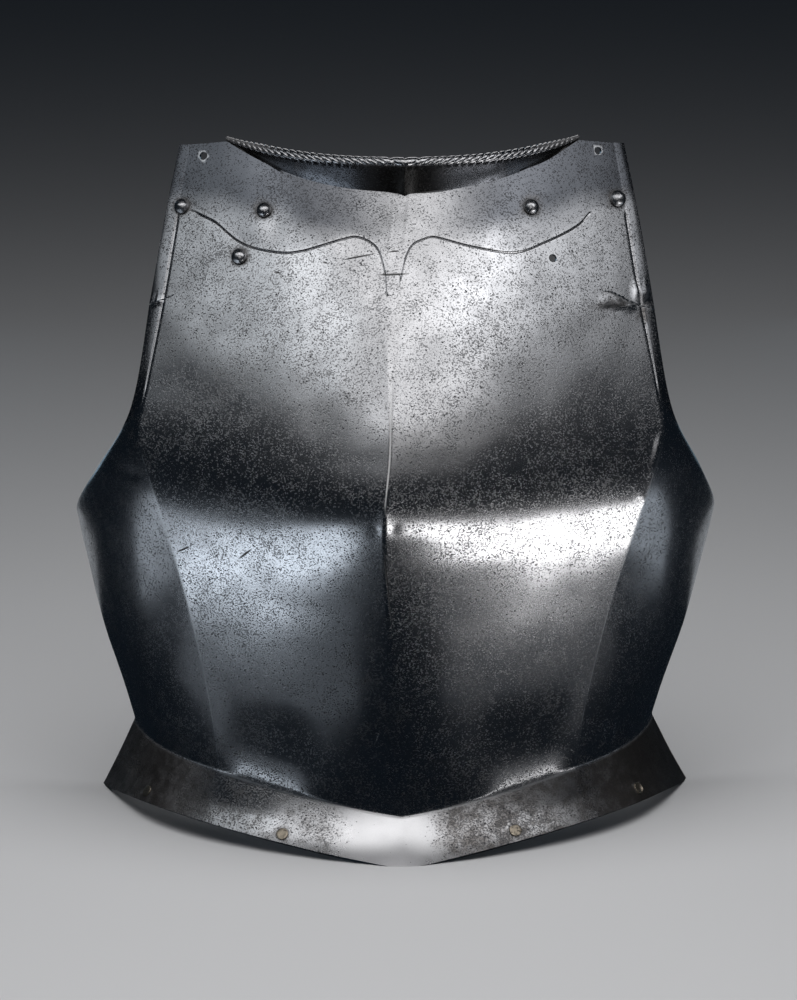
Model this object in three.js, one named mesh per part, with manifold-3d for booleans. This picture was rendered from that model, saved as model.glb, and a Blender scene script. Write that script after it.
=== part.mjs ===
// Breastplate of a steel cuirass: one hammered plate with a keel ridge, a flared waist flange
// and a roped neck, five domed strap rivets and four flat flange rivets.
//
// Every surface point is worked out as (across, forward, up) in millimetres: across is the
// wearer's left to right as seen from the front, forward is measured from the plane of the two
// rear flange corners, up from the ground that the plate stands on. Forward becomes -Y.

import * as THREE from "three";
import { mergeVertices } from "three/addons/utils/BufferGeometryUtils.js";
import Module from "manifold-3d";

const wasm = await Module();
wasm.setup();

// ---------------------------------------------------------------- driving dimensions

const WALL = 2.0; // thickness of the sheet
const HOLE_GAP = 0.35; // air left between a rivet's shank and its hole
const EDGE_FOOT = 1.2; // how far the flange is drawn below the ground before it is ground flat

// The plate is drawn through level sections. Each row gives three points of the right half:
// on the keel ridge, on the side crease and on the free edge (side edge below, armhole above),
// and how far the front panel and the side panel swell out between them. The ridge's own
// across value is where the keel wanders from the middle.
const SECTIONS = [
  { at: "waist", ridge: [2, 122, 21.5], crease: [101.5, 91.5, 39.5], edge: [153, 11, 44.5], swell: [7, 9] },
  { at: "low belly", ridge: [-1.5, 127, 62], crease: [105, 94, 69], edge: [159.5, 8, 66], swell: [7, 10] },
  { at: "belly", ridge: [-4, 134, 100], crease: [111.5, 97.5, 107], edge: [171, 5, 101], swell: [7, 11] },
  { at: "high belly", ridge: [-7.5, 143, 140], crease: [120, 100.5, 146], edge: [179.5, 4, 137], swell: [6, 11] },
  { at: "under peak", ridge: [-10, 152.5, 178], crease: [130, 102, 180], edge: [185, 4, 163], swell: [5, 10] },
  { at: "peak", ridge: [-10.5, 158, 208], crease: [139, 101, 210], edge: [185.5, 6, 176], swell: [3.5, 8] },
  { at: "underarm", ridge: [-8, 151, 238], crease: [146.2, 94, 236], edge: [171, 52, 208.5], swell: [3.5, 3] },
  { at: "arm notch", ridge: [-7.5, 140, 266], crease: [142, 81, 264], edge: [151, 84, 249], swell: [4.5, 0.6] },
  { at: "breast", ridge: [-6, 122, 301], crease: [133.5, 65.5, 306], edge: [140.4, 61, 308], swell: [6, 0.3] },
  { at: "chest", ridge: [-3, 99, 336], crease: [126.5, 49, 347], edge: [133.6, 46, 347], swell: [6.5, 0.3] },
  { at: "neck", ridge: [0.4, 75, 366.9], crease: [119, 32, 389.3], edge: [125, 30, 388.7], swell: [7, 0.2] },
];

// Lower edge of the waist flange, from the point at the front round to the rear corner. It
// rests on the point and on both corners and is arched over the hips between them.
const FLANGE_EDGE = [
  { at: "point", place: [1.5, 146.5, 0] },
  { at: "front", place: [57, 130, 7.6] },
  { at: "hip front", place: [111, 103, 13.6] },
  { at: "hip", place: [150, 64, 13.4] },
  { at: "corner", place: [175, 0, 0] },
];
const FLANGE_HOLLOW = 1.6; // how far the flange sags behind a straight flare

// The whole plate leans a little to one side, as it was left by use.
const LEAN = 0.0125;
const LEAN_FROM = 120;

// Top edge: a neck opening between two short shoulder straps.
const NECK = {
  halfWidth: 98,
  low: 369.3, // height of the opening's edge beside the middle
  rise: 23, // how much higher it is where it meets the straps
  curve: 2.4, // how late that rise comes
  notch: 2.4, // depth of the small dip on the ridge
  notchWidth: 5,
  strapOuter: 119,
  strapDrop: 3, // how much the strap's top falls towards the arm
  blendSections: 3, // sections below the edge over which its shape fades
};

// Standing neck flange with its edge rolled into a rope.
const ROPE = {
  radius: 2.7,
  groove: 0.5, // depth of the grooves between strands
  endRadius: 1.5,
  pitch: 4.3, // length of one strand along the rope
  height: 387.2, // height of the rope's centre over the middle of the neck
  endRise: 6.0, // how much higher the ends are
  lean: 0.4, // how far the flange leans forward for each mm of its height
  endPull: 3, // how far the ends are drawn back
  firstAngle: -60, // the roll starts under its front and ends under its back
  sweep: 300,
  sides: 7,
  chevronHalf: 8, // half the length over which the twist turns round at the middle
  endFade: 36, // length over which the twist dies away at each end
};

const FRONT_COLUMNS = 12; // from the ridge to the end of the neck opening
const STRAP_COLUMNS = 2; // from there to the side crease
const SIDE_COLUMNS = 6; // from the side crease to the free edge
const ROWS_PER_SECTION = 3;
const FLANGE_ROWS = 3;

// Rivets and open holes, placed by (across, up) on the outer face.
// A rivet's seat is the air left between the sheet and its head and tail.
const DOME = {
  radius: 4.0,
  height: 3.1,
  shank: 1.9,
  tailRadius: 2.9,
  tail: 1.1,
  seat: 0.4,
  sides: 14,
  steps: 4,
};
const DOMED_RIVETS = [
  { name: "rivet_shoulder_left", across: -120.2, up: 356.6, lift: 0.3 },
  { name: "rivet_strap_left", across: -74, up: 358 },
  { name: "rivet_chest_left", across: -87.9, up: 333.5 },
  { name: "rivet_strap_right", across: 73.8, up: 359.3 },
  { name: "rivet_shoulder_right", across: 123.6, up: 359.8, lift: 0.3 },
];
const BUTTON = {
  radius: 3.6,
  height: 0.9,
  shank: 1.5,
  tailRadius: 2.4,
  tail: 0.8,
  seat: 0.55,
  sides: 12,
  steps: 1,
};
// Flange rivets stand a share of the way from the waist fold to the edge.
const FLANGE_RIVETS = [
  { name: "rivet_waist_1", column: -1.482, share: 0.8 },
  { name: "rivet_waist_2", column: -0.599, share: 0.82 },
  { name: "rivet_waist_3", column: 0.586, share: 0.78 },
  { name: "rivet_waist_4", column: 1.402, share: 0.77 },
];
const OPEN_HOLES = [
  { at: "left shoulder", across: -108, up: 384, radius: 2.5 },
  { at: "right shoulder", across: 113, up: 386, radius: 2.3 },
  { at: "lost chest rivet", across: 85.6, up: 332.4, radius: 2.4 },
];
const HOLE_SIDES = 12;

// Old damage at the armholes: straight saw-thin tears given by their ends.
const TEARS = [
  { at: "left slit", from: [-141, 306.4], to: [-121.8, 311.2], width: 0.7 },
  { at: "right crack, outer", from: [146, 303.5], to: [126, 308.8], width: 1.4 },
  { at: "right crack, inner", from: [127, 308.2], to: [119.7, 311.6], width: 1.1 },
  { at: "right crack, tip", from: [120.4, 311.8], to: [112, 308.6], width: 0.8 },
];
const TAB = { across: 136.4, up: 311, radius: 5.2, thickness: 1.7, lift: 1.3, tilt: 24 };

const STEEL = { color: 0x8d8b94, roughness: 0.34, metalness: 1.0 };
const RIVET_STEEL = { color: 0x9c9aa0, roughness: 0.28, metalness: 1.0 };
const BROWNED_STEEL = { color: 0x6d6459, roughness: 0.5, metalness: 0.9 };

// ---------------------------------------------------------------- small helpers

const radians = (degrees) => (degrees * Math.PI) / 180;
const clamp01 = (t) => Math.min(1, Math.max(0, t));
const smooth = (t) => clamp01(t) ** 2 * (3 - 2 * clamp01(t));
const mix = (a, b, t) => a.map((value, i) => value * (1 - t) + b[i] * t);

/** A smooth curve through a list of equally spaced number rows, read at a fractional index. */
function throughPoints(rows, at) {
  const last = rows.length - 1;
  const i = Math.min(last - 1, Math.max(0, Math.floor(at)));
  const t = at - i;
  const b = rows[i];
  const c = rows[i + 1];
  const a = i > 0 ? rows[i - 1] : b.map((value, k) => 2 * value - c[k]);
  const d = i < last - 1 ? rows[i + 2] : c.map((value, k) => 2 * value - b[k]);
  return b.map((value, k) => {
    const slope = c[k] - a[k];
    const bend = 2 * a[k] - 5 * value + 4 * c[k] - d[k];
    const twist = 3 * value - a[k] - 3 * c[k] + d[k];
    return 0.5 * (2 * value + slope * t + bend * t ** 2 + twist * t ** 3);
  });
}

/** The part's frame from (across, forward, up). */
const place = ([across, forward, up]) => new THREE.Vector3(across, -forward, up);

// ---------------------------------------------------------------- the plate's outer face

const TOP = SECTIONS.length - 1;
const RIDGE = SECTIONS.map((section) => section.ridge);
const CREASE = SECTIONS.map((section) => section.crease);
const EDGE = SECTIONS.map((section) => section.edge);
const SWELL = SECTIONS.map((section) => section.swell);
const FLANGE = FLANGE_EDGE.map((point) => point.place);
const NECK_SHARE = NECK.halfWidth / NECK.strapOuter;

/** Height of the top edge at a share of the way from the ridge to the side crease. */
function topEdge(share) {
  const across = share * NECK.strapOuter;
  if (across > NECK.halfWidth) {
    const along = (across - NECK.halfWidth) / (NECK.strapOuter - NECK.halfWidth);
    return NECK.low + NECK.rise - NECK.strapDrop * along;
  }
  const rise = NECK.rise * (across / NECK.halfWidth) ** NECK.curve;
  return NECK.low + rise - NECK.notch * Math.exp(-across / NECK.notchWidth);
}

/** Front panel: from the ridge to the side crease, swelling forward between them. */
function frontPanel(share, side, level) {
  const ridge = throughPoints(RIDGE, level);
  const crease = throughPoints(CREASE, level);
  const swell = throughPoints(SWELL, level)[0];
  const point = mix(ridge, [side * crease[0], crease[1], crease[2]], share);
  point[1] += 4 * swell * share * (1 - share);
  const straightTop = RIDGE[TOP][2] * (1 - share) + CREASE[TOP][2] * share;
  const fade = clamp01((level - TOP + NECK.blendSections) / NECK.blendSections) ** 2;
  point[2] += fade * (topEdge(share) - straightTop);
  return point;
}

/** Side panel, or the narrow armhole border above it: from the crease to the free edge. */
function sidePanel(share, side, level) {
  const crease = throughPoints(CREASE, level);
  const edge = throughPoints(EDGE, level);
  const swell = throughPoints(SWELL, level)[1];
  const chord = Math.hypot(edge[0] - crease[0], edge[1] - crease[1]);
  const out = Math.sign(crease[1] - edge[1]) || 1;
  const bulge = (4 * swell * share * (1 - share) * out) / chord;
  const point = mix(crease, edge, share);
  point[0] += bulge * (crease[1] - edge[1]);
  point[1] += bulge * (edge[0] - crease[0]);
  return [side * point[0], point[1], point[2]];
}

/** The lower edge of the flange below a column. */
function flangeEdge(column) {
  const spot = throughPoints(FLANGE, 2 * Math.abs(column));
  const middle = FLANGE[0][0] * clamp01(1 - 2 * Math.abs(column));
  const across = column < 0 ? 2 * middle - spot[0] : spot[0];
  return [across, spot[1], spot[2] - EDGE_FOOT];
}

/**
 * A point of the outer face. column runs from -2 at the left free edge through 0 on the ridge
 * to 2 at the right one, and level from -1 at the flange's edge through 0 at the waist fold to
 * TOP at the neck.
 */
function outerFace(column, level) {
  const side = column < 0 ? -1 : 1;
  const share = Math.abs(column);
  const bodyLevel = Math.max(0, level);
  const point = share <= 1 ? frontPanel(share, side, bodyLevel) : sidePanel(share - 1, side, bodyLevel);
  point[0] += LEAN * (point[2] - LEAN_FROM);
  if (level >= 0) return place(point);
  const flared = mix(point, flangeEdge(column), -level);
  const hollow = 4 * FLANGE_HOLLOW * -level * (1 + level);
  return place(flared).addScaledVector(place([0, 0.7, 0.7]), -hollow);
}

/** The outward normal there, averaged over a small patch so that folds are shared fairly. */
function outwardNormal(column, level) {
  const step = 0.02;
  const right = outerFace(Math.min(2, column + step), level);
  const left = outerFace(Math.max(-2, column - step), level);
  const above = outerFace(column, Math.min(TOP, level + step));
  const below = outerFace(column, Math.max(-1, level - step));
  return right.sub(left).cross(above.sub(below)).normalize();
}

/** Finds the column and level whose outer point has the given across and up. */
function spotAt(across, up) {
  let column = across / 130;
  let level = 8;
  for (let round = 0; round < 20; round++) {
    const here = outerFace(column, level);
    const byColumn = outerFace(column + 0.001, level).sub(here).divideScalar(0.001);
    const byLevel = outerFace(column, level + 0.001).sub(here).divideScalar(0.001);
    const missAcross = across - here.x;
    const missUp = up - here.z;
    const area = byColumn.x * byLevel.z - byLevel.x * byColumn.z;
    column += (missAcross * byLevel.z - byLevel.x * missUp) / area;
    level += (byColumn.x * missUp - missAcross * byColumn.z) / area;
    column = Math.min(2, Math.max(-2, column));
    level = Math.min(TOP, Math.max(0, level));
  }
  return { column, level };
}

// ---------------------------------------------------------------- solids

/** A closed geometry as a manifold solid. */
function solid(geometry) {
  const bare = geometry.toNonIndexed();
  bare.deleteAttribute("normal");
  bare.deleteAttribute("uv");
  const merged = mergeVertices(bare, 1e-5);
  return new wasm.Manifold(
    new wasm.Mesh({
      numProp: 3,
      vertProperties: new Float32Array(merged.attributes.position.array),
      triVerts: new Uint32Array(merged.index.array),
    }),
  );
}

/** A manifold solid back as a geometry. */
function toGeometry(shape) {
  const mesh = shape.getMesh();
  const geometry = new THREE.BufferGeometry();
  geometry.setAttribute("position", new THREE.BufferAttribute(new Float32Array(mesh.vertProperties), 3));
  geometry.setIndex(new THREE.BufferAttribute(new Uint32Array(mesh.triVerts), 1));
  geometry.computeVertexNormals();
  return geometry;
}

/** A geometry from points and four-sided faces. */
function quadGeometry(points, quads, triangles = []) {
  const index = [];
  for (const [a, b, c, d] of quads) index.push(a, b, c, a, c, d);
  for (const triangle of triangles) index.push(...triangle);
  const geometry = new THREE.BufferGeometry();
  const flat = points.flatMap((point) => [point.x, point.y, point.z]);
  geometry.setAttribute("position", new THREE.BufferAttribute(new Float32Array(flat), 3));
  geometry.setIndex(index);
  return geometry;
}

/** Column values from the left free edge to the right one. */
function columnValues() {
  const half = [];
  for (let i = 1; i <= FRONT_COLUMNS; i++) half.push((NECK_SHARE * i) / FRONT_COLUMNS);
  for (let i = 1; i <= STRAP_COLUMNS; i++) half.push(NECK_SHARE + ((1 - NECK_SHARE) * i) / STRAP_COLUMNS);
  for (let i = 1; i <= SIDE_COLUMNS; i++) half.push(1 + i / SIDE_COLUMNS);
  return [...half.map((value) => -value).reverse(), 0, ...half];
}

/** Level values from the flange's edge to the neck. */
function levelValues() {
  const levels = [];
  for (let i = FLANGE_ROWS; i > 0; i--) levels.push(-i / FLANGE_ROWS);
  for (let i = 0; i <= TOP * ROWS_PER_SECTION; i++) levels.push(i / ROWS_PER_SECTION);
  return levels;
}

/** The sheet itself: outer face, inner face one wall behind it, and the four rims. */
function sheetSolid() {
  const columns = columnValues();
  const levels = levelValues();
  const wide = columns.length;
  const high = levels.length;
  const outer = [];
  const inner = [];
  for (const level of levels) {
    for (const column of columns) {
      const point = outerFace(column, level);
      outer.push(point);
      inner.push(point.clone().addScaledVector(outwardNormal(column, level), -WALL));
    }
  }
  const at = (row, column) => row * wide + column;
  const back = outer.length;
  const quads = [];
  for (let row = 0; row < high - 1; row++) {
    for (let column = 0; column < wide - 1; column++) {
      const [a, b] = [at(row, column), at(row, column + 1)];
      const [c, d] = [at(row + 1, column + 1), at(row + 1, column)];
      quads.push([a, b, c, d]);
      quads.push([back + d, back + c, back + b, back + a]);
    }
  }
  const rim = (a, b) => quads.push([b, a, back + a, back + b]);
  for (let column = 0; column < wide - 1; column++) {
    rim(at(0, column), at(0, column + 1));
    rim(at(high - 1, column + 1), at(high - 1, column));
  }
  for (let row = 0; row < high - 1; row++) {
    rim(at(row, wide - 1), at(row + 1, wide - 1));
    rim(at(row + 1, 0), at(row, 0));
  }
  return solid(quadGeometry([...outer, ...inner], quads));
}

/** Centre of the rope above a column of the neck opening. */
function ropeCentre(column) {
  const foot = outerFace(column, TOP);
  const outward = Math.abs(column) / NECK_SHARE;
  const up = ROPE.height + ROPE.endRise * outward ** 3;
  const forward = ROPE.lean * (up - foot.z) - ROPE.endPull * outward ** 2;
  return new THREE.Vector3(foot.x, foot.y - forward, up);
}

/** Columns spaced evenly along the rope, and the rope's half length. */
function ropeStations() {
  const samples = 400;
  const lengths = [0];
  const columns = [-NECK_SHARE];
  let before = ropeCentre(-NECK_SHARE);
  for (let i = 1; i <= samples; i++) {
    const column = NECK_SHARE * ((2 * i) / samples - 1);
    const here = ropeCentre(column);
    lengths.push(lengths[i - 1] + here.distanceTo(before));
    columns.push(column);
    before = here;
  }
  const total = lengths[samples];
  const columnAt = (length) => {
    const wanted = Math.min(total, Math.max(0, length));
    let i = 1;
    while (i < samples && lengths[i] < wanted) i++;
    const share = (wanted - lengths[i - 1]) / (lengths[i] - lengths[i - 1]);
    return columns[i - 1] * (1 - share) + columns[i] * share;
  };
  return { total, columnAt };
}

/**
 * The neck flange and its rope, as loops of points along the neck. Loops slant with the twist,
 * so strand crests and the grooves between them are loops of their own.
 */
function ropedNeckSolid() {
  const { total, columnAt } = ropeStations();
  const halfSteps = Math.round(total / ROPE.pitch);
  const steps = 2 * halfSteps;
  const points = [];
  for (let i = 0; i <= steps; i++) {
    const along = (total * i) / steps;
    const fromMiddle = along - total / 2;
    const toEnd = total / 2 - Math.abs(fromMiddle);
    const turn = Math.sign(fromMiddle) * smooth(Math.abs(fromMiddle) / ROPE.chevronHalf);
    const slant = turn * clamp01(toEnd / ROPE.endFade);
    const full = mix([ROPE.endRadius], [ROPE.radius], smooth(toEnd / ROPE.endFade))[0];
    const radius = full - (i % 2 ? ROPE.groove * clamp01(toEnd / (2 * ROPE.pitch)) : 0);
    const column = columnAt(along);
    const low = outerFace(column, TOP - 0.15);
    const lowNormal = outwardNormal(column, TOP - 0.15);
    const foot = outerFace(column, TOP);
    const footNormal = outwardNormal(column, TOP);
    points.push(low.clone().addScaledVector(lowNormal, -0.25 * WALL));
    points.push(foot.clone().addScaledVector(footNormal, -0.12 * WALL));
    for (let k = 0; k < ROPE.sides; k++) {
      const turned = (ROPE.sweep * k) / (ROPE.sides - 1);
      const angle = radians(ROPE.firstAngle + turned);
      const shifted = along + slant * ROPE.radius * radians(turned);
      const there = columnAt(shifted);
      const centre = ropeCentre(there);
      const run = ropeCentre(Math.min(NECK_SHARE, there + 0.01));
      run.sub(ropeCentre(Math.max(-NECK_SHARE, there - 0.01)));
      const front = new THREE.Vector3(run.y, -run.x, 0).normalize();
      const rim = centre.addScaledVector(front, radius * Math.cos(angle));
      rim.z += radius * Math.sin(angle);
      points.push(rim);
    }
    points.push(foot.clone().addScaledVector(footNormal, -0.88 * WALL));
    points.push(low.clone().addScaledVector(lowNormal, -0.75 * WALL));
  }
  const loop = ROPE.sides + 4;
  const quads = [];
  for (let i = 0; i < steps; i++) {
    for (let k = 0; k < loop; k++) {
      const next = (k + 1) % loop;
      quads.push([i * loop + k, (i + 1) * loop + k, (i + 1) * loop + next, i * loop + next]);
    }
  }
  const flat = (i) => points.slice(i * loop, (i + 1) * loop).map((point) => new THREE.Vector2(-point.y, point.z));
  const firstCap = THREE.ShapeUtils.triangulateShape(flat(0), []);
  const lastCap = THREE.ShapeUtils.triangulateShape(flat(steps), []);
  const caps = [
    ...firstCap.map(([a, b, c]) => [a, b, c]),
    ...lastCap.map(([a, b, c]) => [steps * loop + a, steps * loop + c, steps * loop + b]),
  ];
  return solid(quadGeometry(points, quads, caps));
}

/** Stands a shape made along +Z on the outer face, its Z along the outward normal. */
function standOnFace(geometry, column, level, lift = 0) {
  const normal = outwardNormal(column, level);
  const turn = new THREE.Quaternion().setFromUnitVectors(new THREE.Vector3(0, 0, 1), normal);
  geometry.applyQuaternion(turn);
  const spot = outerFace(column, level).addScaledVector(normal, lift);
  return geometry.translate(spot.x, spot.y, spot.z);
}

/** A round hole's cutter through the sheet. */
function holeCutter(column, level, radius) {
  const drill = new THREE.CylinderGeometry(radius, radius, 6 * WALL, HOLE_SIDES);
  drill.rotateX(Math.PI / 2);
  return solid(standOnFace(drill, column, level));
}

/** A tear's cutter: a thin blade standing on the line between its two ends. */
function tearCutter(tear) {
  const [from, to] = [tear.from, tear.to].map(([across, up]) => {
    const inside = Math.min(Math.abs(across), 139) * Math.sign(across);
    const spot = spotAt(inside, up);
    const point = outerFace(spot.column, spot.level);
    point.x = across;
    return { point, normal: outwardNormal(spot.column, spot.level) };
  });
  const along = to.point.clone().sub(from.point);
  const length = along.length();
  along.normalize();
  const normal = from.normal.clone().add(to.normal).normalize();
  const across = normal.clone().cross(along).normalize();
  const blade = new THREE.BoxGeometry(length, tear.width, 8 * WALL);
  const axes = new THREE.Matrix4().makeBasis(along, across, along.clone().cross(across));
  axes.setPosition(from.point.clone().add(to.point).multiplyScalar(0.5));
  return solid(blade.applyMatrix4(axes));
}

/** The small round tab of steel bent up beside the right crack. */
function tabSolid() {
  const disc = new THREE.CylinderGeometry(TAB.radius, TAB.radius, TAB.thickness, 14);
  disc.rotateX(Math.PI / 2);
  disc.rotateY(radians(-TAB.tilt));
  disc.translate(0, 0, TAB.lift - TAB.thickness / 2);
  const spot = spotAt(TAB.across, TAB.up);
  return solid(standOnFace(disc, spot.column, spot.level));
}

/** The ground that the flange's foot points are worn flat on. */
function groundCutter() {
  const slab = new THREE.BoxGeometry(600, 600, 20);
  return solid(slab.translate(0, -80, -10));
}

const rivetSpots = [
  ...DOMED_RIVETS.map((rivet) => ({ ...rivet, ...spotAt(rivet.across, rivet.up), kind: DOME })),
  ...FLANGE_RIVETS.map((rivet) => ({ ...rivet, level: -rivet.share, kind: BUTTON })),
];

function breastplateSolid() {
  let plate = sheetSolid();
  plate = plate.add(ropedNeckSolid());
  for (const tear of TEARS) plate = plate.subtract(tearCutter(tear));
  plate = plate.add(tabSolid());
  for (const rivet of rivetSpots) {
    plate = plate.subtract(holeCutter(rivet.column, rivet.level, rivet.kind.shank + HOLE_GAP));
  }
  for (const hole of OPEN_HOLES) {
    const spot = spotAt(hole.across, hole.up);
    plate = plate.subtract(holeCutter(spot.column, spot.level, hole.radius));
  }
  return plate.subtract(groundCutter());
}

/** A rivet, turned about its axis: peened tail, shank and domed or flat head. */
function rivetGeometry(kind) {
  const headFoot = kind.seat;
  const tailTop = -WALL - kind.seat;
  const profile = [
    new THREE.Vector2(0, tailTop - kind.tail),
    new THREE.Vector2(0.75 * kind.tailRadius, tailTop - kind.tail),
    new THREE.Vector2(kind.tailRadius, tailTop),
    new THREE.Vector2(kind.shank, tailTop),
    new THREE.Vector2(kind.shank, headFoot),
    new THREE.Vector2(kind.radius, headFoot),
  ];
  for (let i = 1; i <= kind.steps; i++) {
    const angle = ((Math.PI / 2) * i) / (kind.steps + 1);
    profile.push(
      new THREE.Vector2(kind.radius * Math.cos(angle) ** 0.8, headFoot + kind.height * Math.sin(angle)),
    );
  }
  profile.push(new THREE.Vector2(0, headFoot + kind.height));
  return new THREE.LatheGeometry(profile, kind.sides).rotateX(Math.PI / 2);
}

// ---------------------------------------------------------------- the assembly

const group = new THREE.Group();

function addPiece(name, geometry, look) {
  const mesh = new THREE.Mesh(geometry, new THREE.MeshStandardMaterial(look));
  mesh.name = name;
  group.add(mesh);
}

addPiece("breastplate", toGeometry(breastplateSolid()), STEEL);
for (const rivet of rivetSpots) {
  const geometry = standOnFace(rivetGeometry(rivet.kind), rivet.column, rivet.level, rivet.lift);
  addPiece(rivet.name, toGeometry(solid(geometry)), rivet.kind === DOME ? RIVET_STEEL : BROWNED_STEEL);
}

// The origin is on the ground, under the middle of the whole part.
const box = new THREE.Box3().setFromObject(group);
const middle = box.getCenter(new THREE.Vector3());
group.position.set(-middle.x, -middle.y, 0);

export default group;
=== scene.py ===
# %% [markdown]
# # A steel breastplate, stood by itself on a pale floor
#
# A breastplate of the middle of the sixteenth century is one sheet of steel, hammered hot over
# stakes. The smith folded a keel ridge down its middle that rises to a blunt peak, creased the
# two sides, flared a flange at the waist, turned up the neck and rolled that edge into a rope.
# Straps were riveted on at the shoulders and the lining at the waist.
#
# The construction comes packed as a fixed frame. This lesson dresses it: a fine sheet takes
# the place of the faceted one, each rivet gets its hammered head, and the steel gets its pits,
# stains and worn edges, and painted shade and painted highlights besides. Lengths are in
# millimetres until a mesh is placed, then in metres.

# %% Load the frame
import math

import bpy
import numpy as np
from mathutils import Matrix, Vector, noise


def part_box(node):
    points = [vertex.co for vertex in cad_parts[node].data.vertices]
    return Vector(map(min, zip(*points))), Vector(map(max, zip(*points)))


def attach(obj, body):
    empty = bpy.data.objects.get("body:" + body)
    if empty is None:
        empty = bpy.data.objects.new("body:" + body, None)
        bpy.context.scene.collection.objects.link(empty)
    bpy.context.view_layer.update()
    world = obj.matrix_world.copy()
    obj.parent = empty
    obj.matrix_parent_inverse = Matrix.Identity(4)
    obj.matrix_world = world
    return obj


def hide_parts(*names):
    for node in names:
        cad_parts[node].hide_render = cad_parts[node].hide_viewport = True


MM = 0.001
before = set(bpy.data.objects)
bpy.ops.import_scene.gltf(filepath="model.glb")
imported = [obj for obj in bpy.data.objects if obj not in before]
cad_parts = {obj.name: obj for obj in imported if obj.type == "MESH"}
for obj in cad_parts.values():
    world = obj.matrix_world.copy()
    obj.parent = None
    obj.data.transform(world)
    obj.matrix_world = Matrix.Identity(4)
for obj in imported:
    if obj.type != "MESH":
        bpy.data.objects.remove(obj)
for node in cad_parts.values():
    node.update_tag()
bpy.context.view_layer.update()
print("frame nodes:", ", ".join(sorted(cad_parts)))

# %% [markdown]
# ## Working with operators
#
# An operator acts on all that is selected, and the frame arrives selected. So a few helpers
# select exactly one piece, read and write its points in one go, and apply a modifier at once.

# %% Helpers for pieces


def only(*pieces):
    """Selects these pieces and nothing else. The first one is active."""
    bpy.ops.object.select_all(action="DESELECT")
    for piece in pieces:
        piece.select_set(True)
    bpy.context.view_layer.objects.active = pieces[0]


def added(name):
    """The primitive that was just added, under its own name."""
    piece = bpy.context.active_object
    piece.name = name
    piece.data.name = name
    return piece


def points_of(piece):
    """All points of a mesh as rows of (x, y, z)."""
    flat = np.empty(3 * len(piece.data.vertices))
    piece.data.vertices.foreach_get("co", flat)
    return flat.reshape(-1, 3)


def set_points(piece, points):
    """Writes all points of a mesh."""
    piece.data.vertices.foreach_set("co", np.asarray(points, float).ravel())
    piece.data.update()


def apply_modifier(piece, kind, **settings):
    """Adds one modifier to a piece and applies it."""
    only(piece)
    modifier = piece.modifiers.new(kind.lower(), kind)
    for name, value in settings.items():
        setattr(modifier, name, value)
    bpy.ops.object.modifier_apply(modifier=modifier.name)


def in_edit_mode(piece, *steps):
    """Runs mesh operators on the whole piece in edit mode."""
    only(piece)
    bpy.ops.object.mode_set(mode="EDIT")
    bpy.ops.mesh.select_all(action="SELECT")
    for step in steps:
        step()
    bpy.ops.object.mode_set(mode="OBJECT")


def paint(piece, name, values):
    """Keeps one number for each point of a mesh under a name."""
    layers = piece.data.attributes
    layer = layers.get(name) or layers.new(name, "FLOAT", "POINT")
    layer.data.foreach_set("value", np.asarray(values, np.float32))


def painted(piece, name):
    """The numbers kept under a name, one for each point."""
    values = np.zeros(len(piece.data.vertices), np.float32)
    piece.data.attributes[name].data.foreach_get("value", values)
    return values


def triangle_count(piece):
    """How many triangles a piece makes."""
    return sum(len(face.vertices) - 2 for face in piece.data.polygons)


# %% [markdown]
# ## The shape of the sheet
#
# The smith worked to a few level lines, and so does this sheet. Each row below is one of them,
# from the waist fold up to the neck: a point on the keel ridge, one on the side crease and one
# on the free edge (the side below, the armhole above), each as (across, forward, up), and then
# how far the front panel and the side panel swell out between them. Curves join the rows.

# %% Level lines of the breastplate
SECTIONS = (
    # level line, ridge, side crease, free edge, swells
    ("waist", (2, 122, 21.5), (101.5, 91.5, 39.5), (153, 11, 44.5), (7, 9)),
    ("low belly", (-1.5, 127, 62), (105, 94, 69), (159.5, 8, 66), (7, 10)),
    ("belly", (-4, 134, 100), (111.5, 97.5, 107), (171, 5, 101), (7, 11)),
    ("high belly", (-7.5, 143, 140), (120, 100.5, 146), (179.5, 4, 137), (6, 11)),
    ("under peak", (-10, 152.5, 178), (130, 102, 180), (185, 4, 163), (5, 10)),
    ("peak", (-10.5, 158, 208), (139, 101, 210), (185.5, 6, 176), (3.5, 8)),
    ("underarm", (-8, 151, 238), (146.2, 93, 236), (171, 52, 208.5), (3.5, 3)),
    ("arm notch", (-7.5, 140, 266), (142, 83, 264), (151, 80.5, 249), (4.5, 0.6)),
    ("breast", (-6, 122, 301), (133.5, 66, 306), (140.4, 61, 308), (6, 0.3)),
    ("chest", (-3, 99, 336), (126.5, 49, 347), (133.6, 45.5, 347), (6.5, 0.3)),
    ("neck", (0.4, 75, 366.9), (119, 32, 389.3), (125, 29.2, 388.7), (7, 0.2)),
)
RIDGE, CREASE, EDGE, SWELL = (
    np.array([row[part] for row in SECTIONS], float) for part in (1, 2, 3, 4)
)
TOP = len(SECTIONS) - 1
TOP_ROWS = 3  # levels over which the sheet is stretched up to its top edge
TOP_SLOPE = -0.78, -0.4  # forward for each millimetre up, at the ridge and at the crease
WALL = 2.0  # thickness of the sheet
FLANGE_EDGE = np.array(
    [(1.5, 146.5, 0), (57, 130, 7.6), (111, 103, 13.6), (150, 64, 13.4), (175, 0, 0)], float
)  # lower edge of the flange, from its point at the front round to the rear corner
FLANGE_HOLLOW = 1.6  # how far the flange sags behind a straight flare
FLANGE_SAG = np.array([0, 0.7, 0.7])  # the way it sags, back and down
EDGE_FOOT = 1.2  # the flange is drawn this far below the ground, then worn flat on it
LEAN, LEAN_FROM = 0.0125, 120  # the whole plate leans a little to one side
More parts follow.
